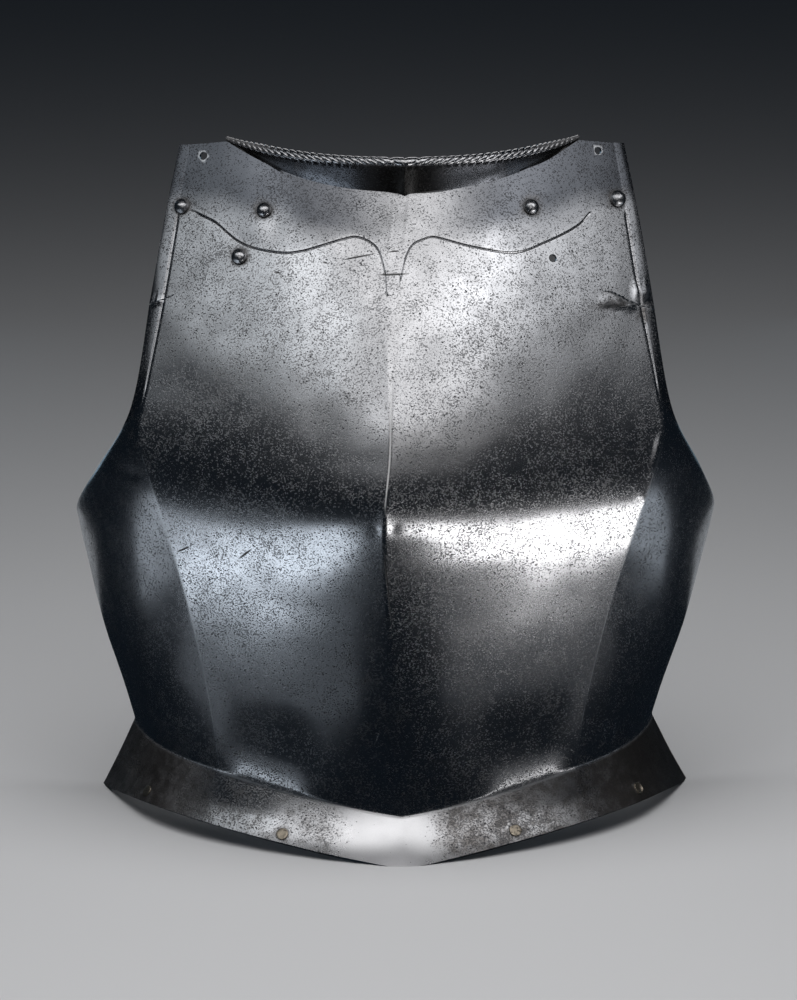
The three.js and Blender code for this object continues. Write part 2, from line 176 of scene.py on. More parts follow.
# half width of the neck opening, its lowest height, its rise to the ends, how late it rises
NECK_HALF, NECK_LOW, NECK_RISE, NECK_CURVE = 98, 369.3, 23, 2.4
NECK_NOTCH, NECK_NOTCH_WIDTH = 2.4, 5  # the dip that the keel makes in the neck's edge
STRAP_OUTER, STRAP_DROP = 119, 3  # outer end of each shoulder, and its fall to there
NECK_SHARE = NECK_HALF / STRAP_OUTER
print("level lines:", ", ".join(row[0] for row in SECTIONS))

# %% Smooth curves through the level lines


def smooth(t):
    """0 to 1 with soft ends."""
    t = np.clip(t, 0, 1)
    return t * t * (3 - 2 * t)


def through_points(rows, at):
    """A smooth curve through equally spaced rows, read at many fractional places at once."""
    last = len(rows) - 1
    i = np.clip(np.floor(at).astype(int), 0, last - 1)
    t = (at - i)[..., None]
    padded = np.vstack([2 * rows[:1] - rows[1:2], rows, 2 * rows[-1:] - rows[-2:-1]])
    a, b, c, d = (padded[i + k] for k in range(4))
    bend = 2 * a - 5 * b + 4 * c - d
    twist = 3 * b - a - 3 * c + d
    return b + 0.5 * ((c - a) * t + bend * t**2 + twist * t**3)


def top_edge(share):
    """Height of the top edge, a share of the way from the ridge to the side crease."""
    across = share * STRAP_OUTER
    rise = NECK_RISE * (np.minimum(across, NECK_HALF) / NECK_HALF) ** NECK_CURVE
    neck = NECK_LOW + rise - NECK_NOTCH * np.exp(-across / NECK_NOTCH_WIDTH)
    along = (across - NECK_HALF) / (STRAP_OUTER - NECK_HALF)
    return np.where(across > NECK_HALF, NECK_LOW + NECK_RISE - STRAP_DROP * along, neck)


# %% Panels of the sheet


def front_panel(share, side, level):
    """From the ridge to the side crease, swelling forward between them."""
    ridge, crease = through_points(RIDGE, level), through_points(CREASE, level)
    point = ridge * (1 - share[..., None]) + crease * share[..., None]
    point[..., 0] = ridge[..., 0] * (1 - share) + side * crease[..., 0] * share
    point[..., 1] += 4 * through_points(SWELL, level)[..., 0] * share * (1 - share)
    straight_top = RIDGE[TOP, 2] * (1 - share) + CREASE[TOP, 2] * share
    near_top = np.clip((level - TOP + TOP_ROWS) / TOP_ROWS, 0, 1)
    slide = near_top**2 * (top_edge(share) - straight_top)
    point[..., 2] += slide
    point[..., 1] += slide * (TOP_SLOPE[0] * (1 - share) + TOP_SLOPE[1] * share)
    return point


def side_panel(share, side, level):
    """From the side crease to the free edge, bulging outwards between them."""
    crease, edge = through_points(CREASE, level), through_points(EDGE, level)
    span = edge - crease
    chord = np.hypot(span[..., 0], span[..., 1])
    outwards = np.where(crease[..., 1] < edge[..., 1], -1.0, 1.0)
    bulge = 4 * through_points(SWELL, level)[..., 1] * share * (1 - share) * outwards / chord
    point = crease + span * share[..., None]
    point[..., 0] -= bulge * span[..., 1]
    point[..., 1] += bulge * span[..., 0]
    point[..., 0] *= side
    return point


def flange_edge(column):
    """The lower edge of the flange below each column."""
    spot = through_points(FLANGE_EDGE, 2 * np.abs(column))
    middle = FLANGE_EDGE[0, 0] * np.clip(1 - 2 * np.abs(column), 0, 1)
    spot[..., 0] = np.where(column < 0, 2 * middle - spot[..., 0], spot[..., 0])
    spot[..., 2] -= EDGE_FOOT
    return spot


def sheet_line(column, level):
    """Points of the outer face. column runs from -2 at the left free edge through 0 on the
    ridge to 2 at the right one; level from -1 at the flange's edge through 0 at the fold."""
    column, level = np.broadcast_arrays(column, level)
    side = np.where(column < 0, -1.0, 1.0)
    share, body = np.abs(column), np.maximum(level, 0)
    front = front_panel(np.minimum(share, 1), side, body)
    flank = side_panel(np.maximum(share - 1, 0), side, body)
    point = np.where((share > 1)[..., None], flank, front)
    point[..., 0] += LEAN * (point[..., 2] - LEAN_FROM)
    flare = np.maximum(-level, 0)[..., None]
    hollow = 4 * FLANGE_HOLLOW * flare * (1 - flare) * FLANGE_SAG
    return point * (1 - flare) + flange_edge(column) * flare - hollow


# %% [markdown]
# ## Folds with a real radius
#
# Hammered steel has no knife folds: the keel is crisp over the belly and soft towards the neck,
# where the smith planished it most, and the side creases are a millimetre or so round. So each
# point is averaged over a small patch, wide across the folds and narrow elsewhere.

# %% Rounded folds
FOLD_RADIUS = 0.008  # in columns, about a millimetre
SOFT_KEEL_RADIUS, SOFT_KEEL_WIDTH = 0.05, 0.1  # the keel close under the neck
SOFT_KEEL_FROM, SOFT_KEEL_RISE = 6.5, 3.5  # in levels
WAIST_RADIUS, WAIST_REACH = 0.03, 0.12  # in levels, about a millimetre
FLARE_RADIUS, FLARE_RISE = 0.22, 0.6  # the side creases die out in the flange
FLARE_FROM, FLARE_WIDTH = 0.25, 0.3  # but not its middle fold
SHARP_EDGE = 0.2  # columns beside the free edge over which the rounding ends
KERNEL = np.linspace(-1, 1, 5)


def plate_face(column, level):
    """The outer face with its folds rounded."""
    column, level = np.broadcast_arrays(column, level)
    under_neck = smooth((level - SOFT_KEEL_FROM) / SOFT_KEEL_RISE)
    keel = SOFT_KEEL_RADIUS * under_neck * np.exp(-((column / SOFT_KEEL_WIDTH) ** 2))
    off_keel = smooth((np.abs(column) - FLARE_FROM) / FLARE_WIDTH)
    across = FOLD_RADIUS + keel + FLARE_RADIUS * smooth(-level / FLARE_RISE) * off_keel
    across *= np.clip((2 - np.abs(column)) / SHARP_EDGE, 0, 1)
    along = WAIST_RADIUS * np.exp(-((level / WAIST_REACH) ** 2))
    total = 0
    for step in KERNEL:
        for rise in KERNEL:
            total = total + sheet_line(column + step * across, level + rise * along)
    return total / len(KERNEL) ** 2


def outward(column, level, step=0.01):
    """The outward normals of the outer face."""
    right, left = np.minimum(column + step, 2), np.maximum(column - step, -2)
    above, below = np.minimum(level + step, TOP), np.maximum(level - step, -1)
    run = plate_face(right, level) - plate_face(left, level)
    rise = plate_face(column, above) - plate_face(column, below)
    normal = np.cross(rise, run)
    return normal / np.linalg.norm(normal, axis=-1, keepdims=True)


SEARCH_STEPS, NUDGE = 20, 0.001
CHEST_HALF, CHEST_LEVEL = 130.0, 8.0  # the search for a place starts from here


def spot_at(across, up):
    """The column and level of the place with this across and up."""
    column, level = np.array(across / CHEST_HALF), np.array(CHEST_LEVEL)
    for _ in range(SEARCH_STEPS):
        here = sheet_line(column, level)
        by_column = (sheet_line(column + NUDGE, level) - here) / NUDGE
        by_level = (sheet_line(column, level + NUDGE) - here) / NUDGE
        miss_across, miss_up = across - here[0], up - here[2]
        area = by_column[0] * by_level[2] - by_level[0] * by_column[2]
        column = column + (miss_across * by_level[2] - by_level[0] * miss_up) / area
        level = level + (by_column[0] * miss_up - miss_across * by_column[2]) / area
        column, level = np.clip(column, -2, 2), np.clip(level, 0, TOP)
    return float(column), float(level)


# %% From the smith's measures to the frame
OUTLINE_COLUMNS, OUTLINE_LEVELS = np.linspace(-2, 2, 161), np.linspace(-1, TOP, 221)
outline = sheet_line(*np.meshgrid(OUTLINE_COLUMNS, OUTLINE_LEVELS))
MIDDLE = (outline[..., 0].max() + outline[..., 0].min()) / 2
BACK_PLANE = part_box("breastplate")[1].y  # the rear corners of the flange stand here


def to_frame(points):
    """(across, forward, up) in millimetres to the frame's x, y, z in metres."""
    points = np.asarray(points, float)
    return np.stack(
        [
            (points[..., 0] - MIDDLE) * MM,
            BACK_PLANE - points[..., 1] * MM,
            points[..., 2] * MM,
        ],
        axis=-1,
    )


def turn_to_frame(directions):
    """Directions, from the smith's axes to the frame's."""
    return np.asarray(directions) * np.array([1, -1, 1])


print("widest across in mm:", round(np.ptp(outline[..., 0]), 1))
print("middle of the plate in mm:", round(MIDDLE, 2))

# %% [markdown]
# ## The engraved line
#
# Across the chest runs a line like a moustache: down each side of the keel in a narrow foot, up
# over a shoulder and out in a long wave towards the armholes. It was cut with a graver and the
# field above it was left a shade prouder. A line cut across a mesh turns into saw teeth, so
# here the rows of the sheet bend to follow it, and the cut lies along one row.

# %% The route of the line
ENGRAVED_LEFT = (
    # across, up, from the left end to the left foot
    (-114.5, 354.9), (-100.4, 349.5), (-85.9, 340.2), (-67.6, 337.2), (-53.8, 338.5),
    (-31.2, 345.4), (-21.9, 346.7), (-12.1, 341.6), (-8.0, 329.0), (-6.8, 318.8),
)
ENGRAVED_RIGHT = (
    # across, up, from the right foot to the right end
    (0.1, 326.2), (3.1, 336.4), (7.1, 343.2), (13.2, 345.9), (20.4, 346.7),
    (39.7, 341.3), (63.7, 336.7), (81.9, 340.9), (100.9, 348.3), (108.0, 354.3),
)
LINE_SPOTS = np.array([spot_at(across, up) for across, up in ENGRAVED_LEFT + ENGRAVED_RIGHT])
LEFT_FOOT = len(ENGRAVED_LEFT) - 1
LINE_FEET = LINE_SPOTS[LEFT_FOOT, 0], LINE_SPOTS[LEFT_FOOT + 1, 0]
LINE_ENDS = LINE_SPOTS[0, 0], LINE_SPOTS[-1, 0]
LINE_SAMPLES = 1200
MM_PER_LEVEL = 35.0  # height of one level on the chest
MM_PER_COLUMN = STRAP_OUTER
line_curve = through_points(LINE_SPOTS, np.linspace(0, len(LINE_SPOTS) - 1, LINE_SAMPLES))
line_order = np.argsort(line_curve[:, 0], kind="stable")


def line_level(column):
    """The level of the engraved line at a column, held level past its ends."""
    return np.interp(column, line_curve[line_order, 0], line_curve[line_order, 1])


def line_steepness(column, step=0.004):
    """How much longer a step along the line is than its step across."""
    rise = (line_level(column + step) - line_level(column - step)) / (2 * step)
    return np.sqrt(1 + (rise * MM_PER_LEVEL / MM_PER_COLUMN) ** 2)


print("engraved line from column", [round(v, 3) for v in LINE_ENDS])

# %% Spacing of the rows and columns
FINE_SAMPLES = 4001
COLUMN_STEP, FINE_COLUMN_STEP = 0.0155, 0.0045  # about 1.8 mm, and 0.5 mm beside folds
KEEL_FINE, CREASE_FINE = 0.11, 0.035  # how far the fine columns reach from the folds
SIDE_STEP, SIDE_FINE = 0.045, 0.04
BODY_STEP, FINE_BODY_STEP = 0.085, 0.03
WAIST_FINE = 0.12
TEAR_LEVEL, TEAR_FINE = 8.0, 0.18
FLANGE_STEP, FLANGE_STEP_DROP, FLANGE_FINE = 0.085, 0.06, 0.1


def graded(start, end, step_at):
    """Values from start to end, spaced as step_at says at each place."""
    fine = np.linspace(start, end, FINE_SAMPLES)
    per_step = np.diff(fine) / step_at((fine[:-1] + fine[1:]) / 2)
    count = np.concatenate([[0], np.cumsum(per_step)])
    return np.interp(np.linspace(0, count[-1], int(round(count[-1])) + 1), count, fine)


def front_step(column):
    """Column spacing of the front: fine at the keel and its line's feet, and at the crease."""
    fine = np.exp(-((column / KEEL_FINE) ** 4)) + np.exp(-(((1 - column) / CREASE_FINE) ** 2))
    return COLUMN_STEP - (COLUMN_STEP - FINE_COLUMN_STEP) * np.clip(fine, 0, 1)


def side_step(column):
    """Column spacing of the sides: fine beside the crease."""
    fine = np.exp(-(((column - 1) / SIDE_FINE) ** 2))
    return SIDE_STEP - (SIDE_STEP - FINE_COLUMN_STEP) * fine


def body_step(level):
    """Row spacing of the body: fine at the waist fold and beside the armhole tears."""
    fine = np.exp(-((level / WAIST_FINE) ** 2))
    fine = fine + np.exp(-(((level - TEAR_LEVEL) / TEAR_FINE) ** 2))
    return BODY_STEP - (BODY_STEP - FINE_BODY_STEP) * np.clip(fine, 0, 1)


def flange_step(level):
    """Row spacing of the flange: fine at the waist fold."""
    return FLANGE_STEP - FLANGE_STEP_DROP * np.exp(-((level / FLANGE_FINE) ** 2))


# %% Rows and columns of the sheet
BAND_LOW = 8.0  # the rows start to bend towards the engraved line here
LINE_ROWS = (-4.0, -2.6, -1.6, -1.0, -0.65, -0.4, -0.2, 0, 0.2, 0.4, 0.65, 1.0, 1.6, 2.6, 4.0)
STEEPEST = 4.5  # rows beside the line spread no further than this where it is steep
TOP_ROOM = 0.1  # levels kept free above them
BELOW_LINE, ABOVE_LINE = np.linspace(0, 1, 13)[1:-1], np.linspace(0, 1, 19)[1:]
half_columns = np.concatenate([graded(0, 1, front_step), graded(1, 2, side_step)[1:]])
COLUMNS = np.concatenate([-half_columns[:0:-1], half_columns])
FLANGE_ROWS = graded(-1, 0, flange_step)
BODY_ROWS = graded(0, BAND_LOW, body_step)[1:]
line_offsets = np.array(LINE_ROWS) / MM_PER_LEVEL
at_line = line_level(COLUMNS)
steepness = np.minimum(line_steepness(COLUMNS), STEEPEST)
first_line_row = at_line + line_offsets[0] * steepness
last_line_row = at_line + line_offsets[-1] * steepness
last_line_row = np.minimum(last_line_row, TOP - TOP_ROOM)
below_line = [BAND_LOW + (first_line_row - BAND_LOW) * t for t in BELOW_LINE]
on_line = [np.minimum(at_line + offset * steepness, last_line_row) for offset in line_offsets]
above_line = [last_line_row + (TOP - last_line_row) * t for t in ABOVE_LINE]
lower_rows = [np.full_like(COLUMNS, level) for level in (*FLANGE_ROWS, *BODY_ROWS)]
ROW_LEVELS = np.array(lower_rows + below_line + on_line + above_line)
print("sheet rows and columns:", ROW_LEVELS.shape)

# %% [markdown]
# ## Relief of the sheet
#
# What the years did to the surface is shallow but the light finds it: the cut line, the line
# scored along each armhole, the small nub of the keel at the peak, a knock beside a rivet, the
# lips of the two tears. Each is a small height in millimetres, added along the normal.

# %% Lines and the hollow above the waist
LINE_DEPTH, LINE_HALF_WIDTH = 0.32, 0.3
LINE_END_FADE, LINE_FOOT_FADE = 0.03, 0.008  # in columns
FIELD_HEIGHT, FIELD_STEP, FIELD_FADE = 0.22, 0.5, 9.0
SCORE_DEPTH, SCORE_HALF_WIDTH = 0.45, 0.5
SCORE_LEVELS, SCORE_FADES = (6.25, 9.15), (0.3, 0.1)
MM_PER_BORDER_COLUMN = 8.0  # the narrow border beside the armhole
SWEEP_DEPTH, SWEEP_DEEPEST, SWEEP_END = 3.2, 0.6, 2.0  # deepest and ended at these levels
SWEEP_FROM, SWEEP_RISE, SWEEP_FALL = 0.35, 0.25, 0.15  # in columns, from keel to crease


def engraved_height(column, level):
    """The cut line, and the field above it that stands a shade prouder."""
    off = (level - line_level(column)) * MM_PER_LEVEL / line_steepness(column)
    inside = smooth((column - LINE_ENDS[0]) / LINE_END_FADE)
    inside = inside * smooth((LINE_ENDS[1] - column) / LINE_END_FADE)
    between = smooth((column - LINE_FEET[0]) / LINE_FOOT_FADE)
    between = between * smooth((LINE_FEET[1] - column) / LINE_FOOT_FADE)
    cut = -LINE_DEPTH * np.exp(-((off / LINE_HALF_WIDTH) ** 2))
    field = FIELD_HEIGHT * smooth(off / FIELD_STEP) * np.exp(-np.maximum(off, 0) / FIELD_FADE)
    return (cut + field) * inside * (1 - between)


def scored_height(column, level):
    """The line scored along each armhole, on the crease above the side panels."""
    share = np.abs(column)
    off = (share - 1) * np.where(share < 1, MM_PER_COLUMN, MM_PER_BORDER_COLUMN)
    along = smooth((level - SCORE_LEVELS[0]) / SCORE_FADES[0])
    along = along * smooth((SCORE_LEVELS[1] - level) / SCORE_FADES[1])
    return -SCORE_DEPTH * along * np.exp(-((off / SCORE_HALF_WIDTH) ** 2))


def swept_height(column, level):
    """A shallow hollow on each side, so that the sheet sweeps out into the flange."""
    sink = 1 - (1 - np.clip(level / SWEEP_DEEPEST, 0, 1)) ** 2
    rise = 1 - smooth((level - SWEEP_DEEPEST) / (SWEEP_END - SWEEP_DEEPEST))
    share = np.abs(column)
    beside_keel = smooth((share - SWEEP_FROM) / SWEEP_RISE) * smooth((1.0 - share) / SWEEP_FALL)
    return -SWEEP_DEPTH * sink * rise * beside_keel


print("line depth and hollow in mm:", LINE_DEPTH, SWEEP_DEPTH)

# %% Dents, lips and flakes
DENTS = (
    # across, up, radius, depth
    (-68.1, 350.3, 6.5, 0.55),
    (88.0, 352.0, 9.0, 0.35),
    (-88.0, 345.0, 6.0, 0.25),
    (-95.0, 300.0, 16.0, 0.25),
    (40.0, 290.0, 20.0, 0.2),
    (-45.0, 255.0, 18.0, 0.25),
    (90.0, 262.0, 17.0, -0.2),
    (-70.0, 150.0, 22.0, 0.3),
    (60.0, 120.0, 22.0, -0.3),
    (-10.4, 210.0, 3.2, -0.5),
    (-14.5, 198.0, 3.5, 0.3),
    (-4.5, 199.5, 3.5, 0.3),
)
LIPS = (
    # across, up at both ends, half width, height: metal pushed up along a short line
    (-138.0, 305.4, -124.0, 308.6, 0.9, 0.5),
    (113.0, 307.0, 131.0, 303.8, 1.0, 0.7),
    (134.8, 310.2, 137.5, 309.4, 3.2, 1.0),
    (145.0, 234.0, 139.6, 217.0, 1.3, 0.6),
    (133.0, 206.0, 136.5, 200.0, 0.8, 0.5),
    (116.5, 135.0, 123.0, 135.6, 0.9, -0.8),
    (-161.0, 216.5, -148.0, 213.0, 2.2, -0.8),
)
LIP_REACH, LIP_FLANK = 1.4, 0.8  # in half widths: where a lip ends, and how wide its flank is


def dented_height(points):
    """Shallow dents and swellings, round in the front view."""
    height = 0
    for across, up, radius, depth in DENTS:
        squared = (points[..., 0] - across) ** 2 + (points[..., 2] - up) ** 2
        height = height - depth * np.exp(-squared / radius**2)
    return height


def lipped_height(points):
    """Lips, flakes and the bent tab, each a short ridge or groove with a flat top."""
    height = 0
    for start_across, start_up, end_across, end_up, half_width, rise in LIPS:
        run = end_across - start_across, end_up - start_up
        off_across, off_up = points[..., 0] - start_across, points[..., 2] - start_up
        share = (off_across * run[0] + off_up * run[1]) / (run[0] ** 2 + run[1] ** 2)
        share = np.clip(share, 0, 1)
        distance = np.hypot(off_across - share * run[0], off_up - share * run[1])
        height = height + rise * smooth((LIP_REACH - distance / half_width) / LIP_FLANK)
    return height


print("dents and lips:", len(DENTS), len(LIPS))

# %% [markdown]
# ## Raising the sheet
#
# A flat grid is the blank. It is raised in one step, each point going to its place on the outer
# face, then planished: a faint cloud texture moves it by a fifth of a millimetre, which is what
# breaks a highlight on hammered steel. Solidify gives the wall its two millimetres inwards.
# The lines are cut after that, into the outer face alone, as a graver cuts them. Last, the flange
# is cut flat where it stands on the ground.

# %% The raised sheet


def grid_index(places, count):
    """The row or column number of each point of a new grid, which runs from -1 to 1."""
    return np.rint((places + 1) / 2 * (count - 1)).astype(int)


bpy.ops.object.select_all(action="DESELECT")
bpy.ops.mesh.primitive_grid_add(
    x_subdivisions=len(COLUMNS) - 1, y_subdivisions=len(ROW_LEVELS) - 1, size=2
)
sheet = added("breastplate_sheet")
blank = points_of(sheet)
column_index = grid_index(blank[:, 0], len(COLUMNS))
row_index = grid_index(blank[:, 1], len(ROW_LEVELS))
columns, levels = COLUMNS[column_index], ROW_LEVELS[row_index, column_index]
raised = plate_face(columns, levels)
height = swept_height(columns, levels) + dented_height(raised) + lipped_height(raised)
normals = outward(columns, levels)
raised = raised + normals * height[:, None]
set_points(sheet, to_frame(raised))
paint(sheet, "column", columns)
paint(sheet, "level", levels)
print("raised sheet:", triangle_count(sheet), "triangles")

# %% Planishing, wall, lines and foot
PLANISH_SIZE, PLANISH_DEPTH = 0.045, 0.0007
planish = bpy.data.textures.new("planishing", "CLOUDS")
planish.noise_scale = PLANISH_SIZE
planish.noise_depth = 1
apply_modifier(sheet, "DISPLACE", texture=planish, texture_coords="LOCAL", strength=PLANISH_DEPTH)
apply_modifier(sheet, "SOLIDIFY", thickness=WALL * MM, offset=-1)
skin = points_of(sheet)  # the outer face comes first
cut = engraved_height(columns, levels) + scored_height(columns, levels)
skin[: len(cut)] += turn_to_frame(normals) * (cut * MM)[:, None]
set_points(sheet, skin)
in_edit_mode(
    sheet,
    lambda: bpy.ops.mesh.bisect(
        plane_co=(0, 0, 0), plane_no=(0, 0, 1), clear_inner=True, use_fill=True
    ),
)
print("sheet with its wall:", triangle_count(sheet), "triangles")

# %% [markdown]
# ## Holes and tears
#
# Holes were punched through the finished sheet for the strap rivets and the lining rivets. Three
# are empty now: one at each shoulder and one on the chest whose rivet is lost. Each armhole has
# a tear, a straight slit on the left and a ragged crack on the right. All are cut with one
# cutter, which is a round bar for each hole and a crooked blade for each tear.

# %% Places of rivets and holes
DOMED_RIVETS = (
    # name, across, up, radius, height
    ("shoulder_left", -120.2, 356.6, 4.5, 3.2),
    ("strap_left", -74.0, 358.0, 4.4, 3.2),
    ("chest_left", -87.9, 333.5, 4.6, 3.4),
    ("strap_right", 73.8, 359.3, 4.5, 3.2),
    ("shoulder_right", 123.6, 359.8, 4.9, 2.6),
)
FLANGE_RIVETS = (
    # name, column, share of the way from the fold to the edge
    ("waist_1", -1.482, 0.8),
    ("waist_2", -0.599, 0.82),
    ("waist_3", 0.586, 0.78),
    ("waist_4", 1.402, 0.77),
)
OPEN_HOLES = (
    # across, up, radius
    (-108.0, 384.0, 2.5),
    (113.0, 386.0, 2.3),
    (85.6, 332.4, 2.4),
)
SHANK, HOLE_GAP = 1.9, 0.15
PUNCH_SIDES, PUNCH_LENGTH = 28, 12


def seat_on(column, level):
    """The place and outward direction of a spot on the sheet, in the frame."""
    place = to_frame(plate_face(np.array(column), np.array(level)))
    return Vector(place), Vector(turn_to_frame(outward(np.array(column), np.array(level))))


def stood_on(piece, column, level, sink=0.0):
    """Turns a piece made along +Z to stand on the sheet, and puts that place in its mesh."""
    place, normal = seat_on(column, level)
    turn = Vector((0, 0, 1)).rotation_difference(normal).to_matrix().to_4x4()
    piece.data.transform(Matrix.Translation(place - normal * sink * MM) @ turn)


spots = {name: spot_at(across, up) for name, across, up, _, _ in DOMED_RIVETS}
spots |= {name: (column, -share) for name, column, share in FLANGE_RIVETS}
hole_spots = [(*spot, SHANK + HOLE_GAP) for spot in spots.values()]
hole_spots += [(*spot_at(across, up), radius) for across, up, radius in OPEN_HOLES]
print("holes to punch:", len(hole_spots))

# %% One cutter for all holes and tears
TEARS = (
    # the line of a tear as (across, up, width), from the armhole inwards
    ((-143.0, 305.9, 0.9), (-134.0, 307.9, 0.7), (-127.0, 309.7, 0.9), (-121.8, 311.4, 0.3)),
    (
        (147.0, 304.0, 1.6),
        (141.0, 304.6, 1.0),
        (134.0, 305.6, 1.5),
        (128.3, 307.2, 2.3),
        (123.5, 309.2, 2.6),
        (119.0, 311.0, 1.9),
        (115.5, 311.6, 1.2),
        (112.1, 310.9, 0.3),
    ),
)
TEAR_STEPS = 6  # steps of the blade for each point of its line
TEAR_WANDER, WANDER_WAVES = 0.22, (7.3, 2.9)  # how crooked the blade is
GAPE_SHARE, GAPE_WAVE = 0.35, 11.3  # how its width changes along the line
BLADE_REACH = 0.03  # metres before and behind the sheet
BLADE_LIMIT = 138  # a blade is aimed at the sheet no further out than this
BLADE_NUDGE = 0.01


def crooked_blade(line):
    """A blade along a tear's line, reaching through the sheet."""
    line = np.array(line, float)
    last = len(line) - 1
    bpy.ops.mesh.primitive_grid_add(x_subdivisions=TEAR_STEPS * last, y_subdivisions=1, size=2)
    blade = added("tear_blade")
    flat = points_of(blade)
    along = (flat[:, 0] + 1) / 2 * last
    spine = through_points(line, along)
    run = through_points(line, np.minimum(along + BLADE_NUDGE, last))
    run = run - through_points(line, np.maximum(along - BLADE_NUDGE, 0))
    run /= np.linalg.norm(run[:, :2], axis=1, keepdims=True)
    wander = TEAR_WANDER * np.sin(WANDER_WAVES[0] * along) * np.sin(WANDER_WAVES[1] * along)
    gape = spine[:, 2] * (1 + GAPE_SHARE * np.sin(GAPE_WAVE * along))
    side = flat[:, 1] * gape / 2 + wander
    across = spine[:, 0] - run[:, 1] * side
    up = spine[:, 1] + run[:, 0] * side
    middle = line[len(line) // 2]
    column, level = spot_at(np.clip(middle[0], -BLADE_LIMIT, BLADE_LIMIT), middle[1])
    place, normal = seat_on(column, level)
    front = to_frame(np.stack([across, np.zeros_like(across), up], axis=1))
    front[:, 1] = place.y
    set_points(blade, front + np.array(normal) * BLADE_REACH)
    in_edit_mode(
        blade,
        lambda: bpy.ops.mesh.extrude_region_move(
            TRANSFORM_OT_translate={"value": tuple(-2 * BLADE_REACH * normal)}
        ),
        lambda: bpy.ops.mesh.select_all(action="SELECT"),
        lambda: bpy.ops.mesh.normals_make_consistent(inside=False),
    )
    return blade


cutters = [crooked_blade(line) for line in TEARS]
for column, level, radius in hole_spots:
    bpy.ops.mesh.primitive_cylinder_add(
        vertices=PUNCH_SIDES, radius=radius * MM, depth=PUNCH_LENGTH * MM
    )
    punch = added("punch")
    stood_on(punch, column, level)
    cutters.append(punch)
only(*cutters)
bpy.ops.object.join()
cutter = added("cutter")
apply_modifier(sheet, "BOOLEAN", object=cutter, operation="DIFFERENCE", solver="MANIFOLD")
bpy.data.objects.remove(cutter)
print("sheet with its holes:", triangle_count(sheet), "triangles")

# %% [markdown]
# ## Tarnish, dull fields, worn folds, painted shade and painted highlights
#
# A finish isn't the same all over. The flange was handled and sweated on, so it is browned away
# from its middle; part of that brown, browner to the right, and its near-black ends are painted
# shade, and its middle has a painted highlight. The field above the engraved line is duller, save
# a painted highlight in a knock, and the borders at the armholes get painted shade. The folds,
# which cloths and belts rubbed for centuries, are bright, partly as painted highlights, and the
# bent tab's lower rim has a painted highlight. Each is painted as one number for each point of
# the mesh, from its place on the sheet, and the steel reads it. It could be an image, but numbers
# on the points need no unwrapping and follow the folds exactly.

# %% Stain and painted shade on the flange, stains round the rivets, and darkening along a tear
WHITE_FROM, WHITE_TO = -0.3, 0.17  # columns of the flange's middle, which gets a painted highlight
FOLD_FADE, BROWN_FADE = 0.06, 0.1
# The flange's brown away from its middle is part stain, part painted shade; its ends get near-black
# painted shade.
BROWN_SHARE, BROWN_MORE, BLACK_SHARE = 0.3, 0.35, 0.3
BROWN_TURN = 0.2  # columns over which it gets browner towards the right, as painted shade
BLACK_FROM, BLACK_FADE, BLACK_SHADE = 0.95, 0.5, 0.75
RIVET_STAIN, RIVET_STAIN_SHARE = 7.0, 0.55  # millimetres around a rivet
TEAR_DARK_SHARE = 0.7
TEAR_DARK_SPOTS = (
    # across, up, half width, half height
    (120, 305.5, 14, 3.2),
    (137, 299, 4.5, 5),
)


def near(value, middle, half_width):
    """1 at the middle, 0 well away from it."""
    return np.exp(-(((value - middle) / half_width) ** 2))


sheet_columns, sheet_levels = painted(sheet, "column"), painted(sheet, "level")
share = np.abs(sheet_columns)
place = points_of(sheet) / MM
across, up = place[:, 0] + MIDDLE, place[:, 2]
flange = smooth(-sheet_levels / FOLD_FADE)
off_middle = np.maximum(sheet_columns - WHITE_TO, WHITE_FROM - sheet_columns)
# Browned away from the middle: a stain, and painted shade where the flange turns from the light.
browned_and_shaded = flange * smooth((off_middle + BROWN_FADE) / (2 * BROWN_FADE))
# Painted shade: the flange's ends go near black.
shaded_ends = flange * smooth((share - BLACK_FROM) / BLACK_FADE)
brown = BROWN_SHARE + BROWN_MORE * smooth(sheet_columns / BROWN_TURN)
stain_and_shade = brown * browned_and_shaded + BLACK_SHARE * shaded_ends
for column, level in spots.values():
    seat = plate_face(np.array(column), np.array(level))
    distance = np.hypot(across - seat[0], up - seat[2])
    stain_and_shade = np.maximum(stain_and_shade, RIVET_STAIN_SHARE * near(distance, 0, RIVET_STAIN))
# Darker along the right tear, in two spots mixed in with the stains.
tear_dark = 0
for tear_across, tear_up, half_width, half_height in TEAR_DARK_SPOTS:
    off_tear = np.hypot((across - tear_across) / half_width, (up - tear_up) / half_height)
    tear_dark = tear_dark + near(off_tear, 0, 1)
stain_and_shade = np.maximum(stain_and_shade, TEAR_DARK_SHARE * np.clip(tear_dark, 0, 1))
paint(sheet, "dirt_and_shade", BLACK_SHADE * shaded_ends)
paint(sheet, "stain_and_shade", stain_and_shade)
print("stain up to:", round(float(stain_and_shade.max()), 2))

# %% Dull field above the engraved line, and painted shade on the borders at the armholes
FIELD_MIDDLE, FIELD_HALF_WIDTH, FIELD_STEP_MM = 8, 26, 3  # it stays bright round the keel
DULL_LOW, DULL_MORE = 0.3, 0.6
DULL_FROM, DULL_FADE = 9.1, 0.4  # in levels
KNOCK_ACROSS, KNOCK_UP, KNOCK_RADIUS, KNOCK_HIGHLIGHT = -68, 350, 8, 0.8  # a painted highlight in a knock in it
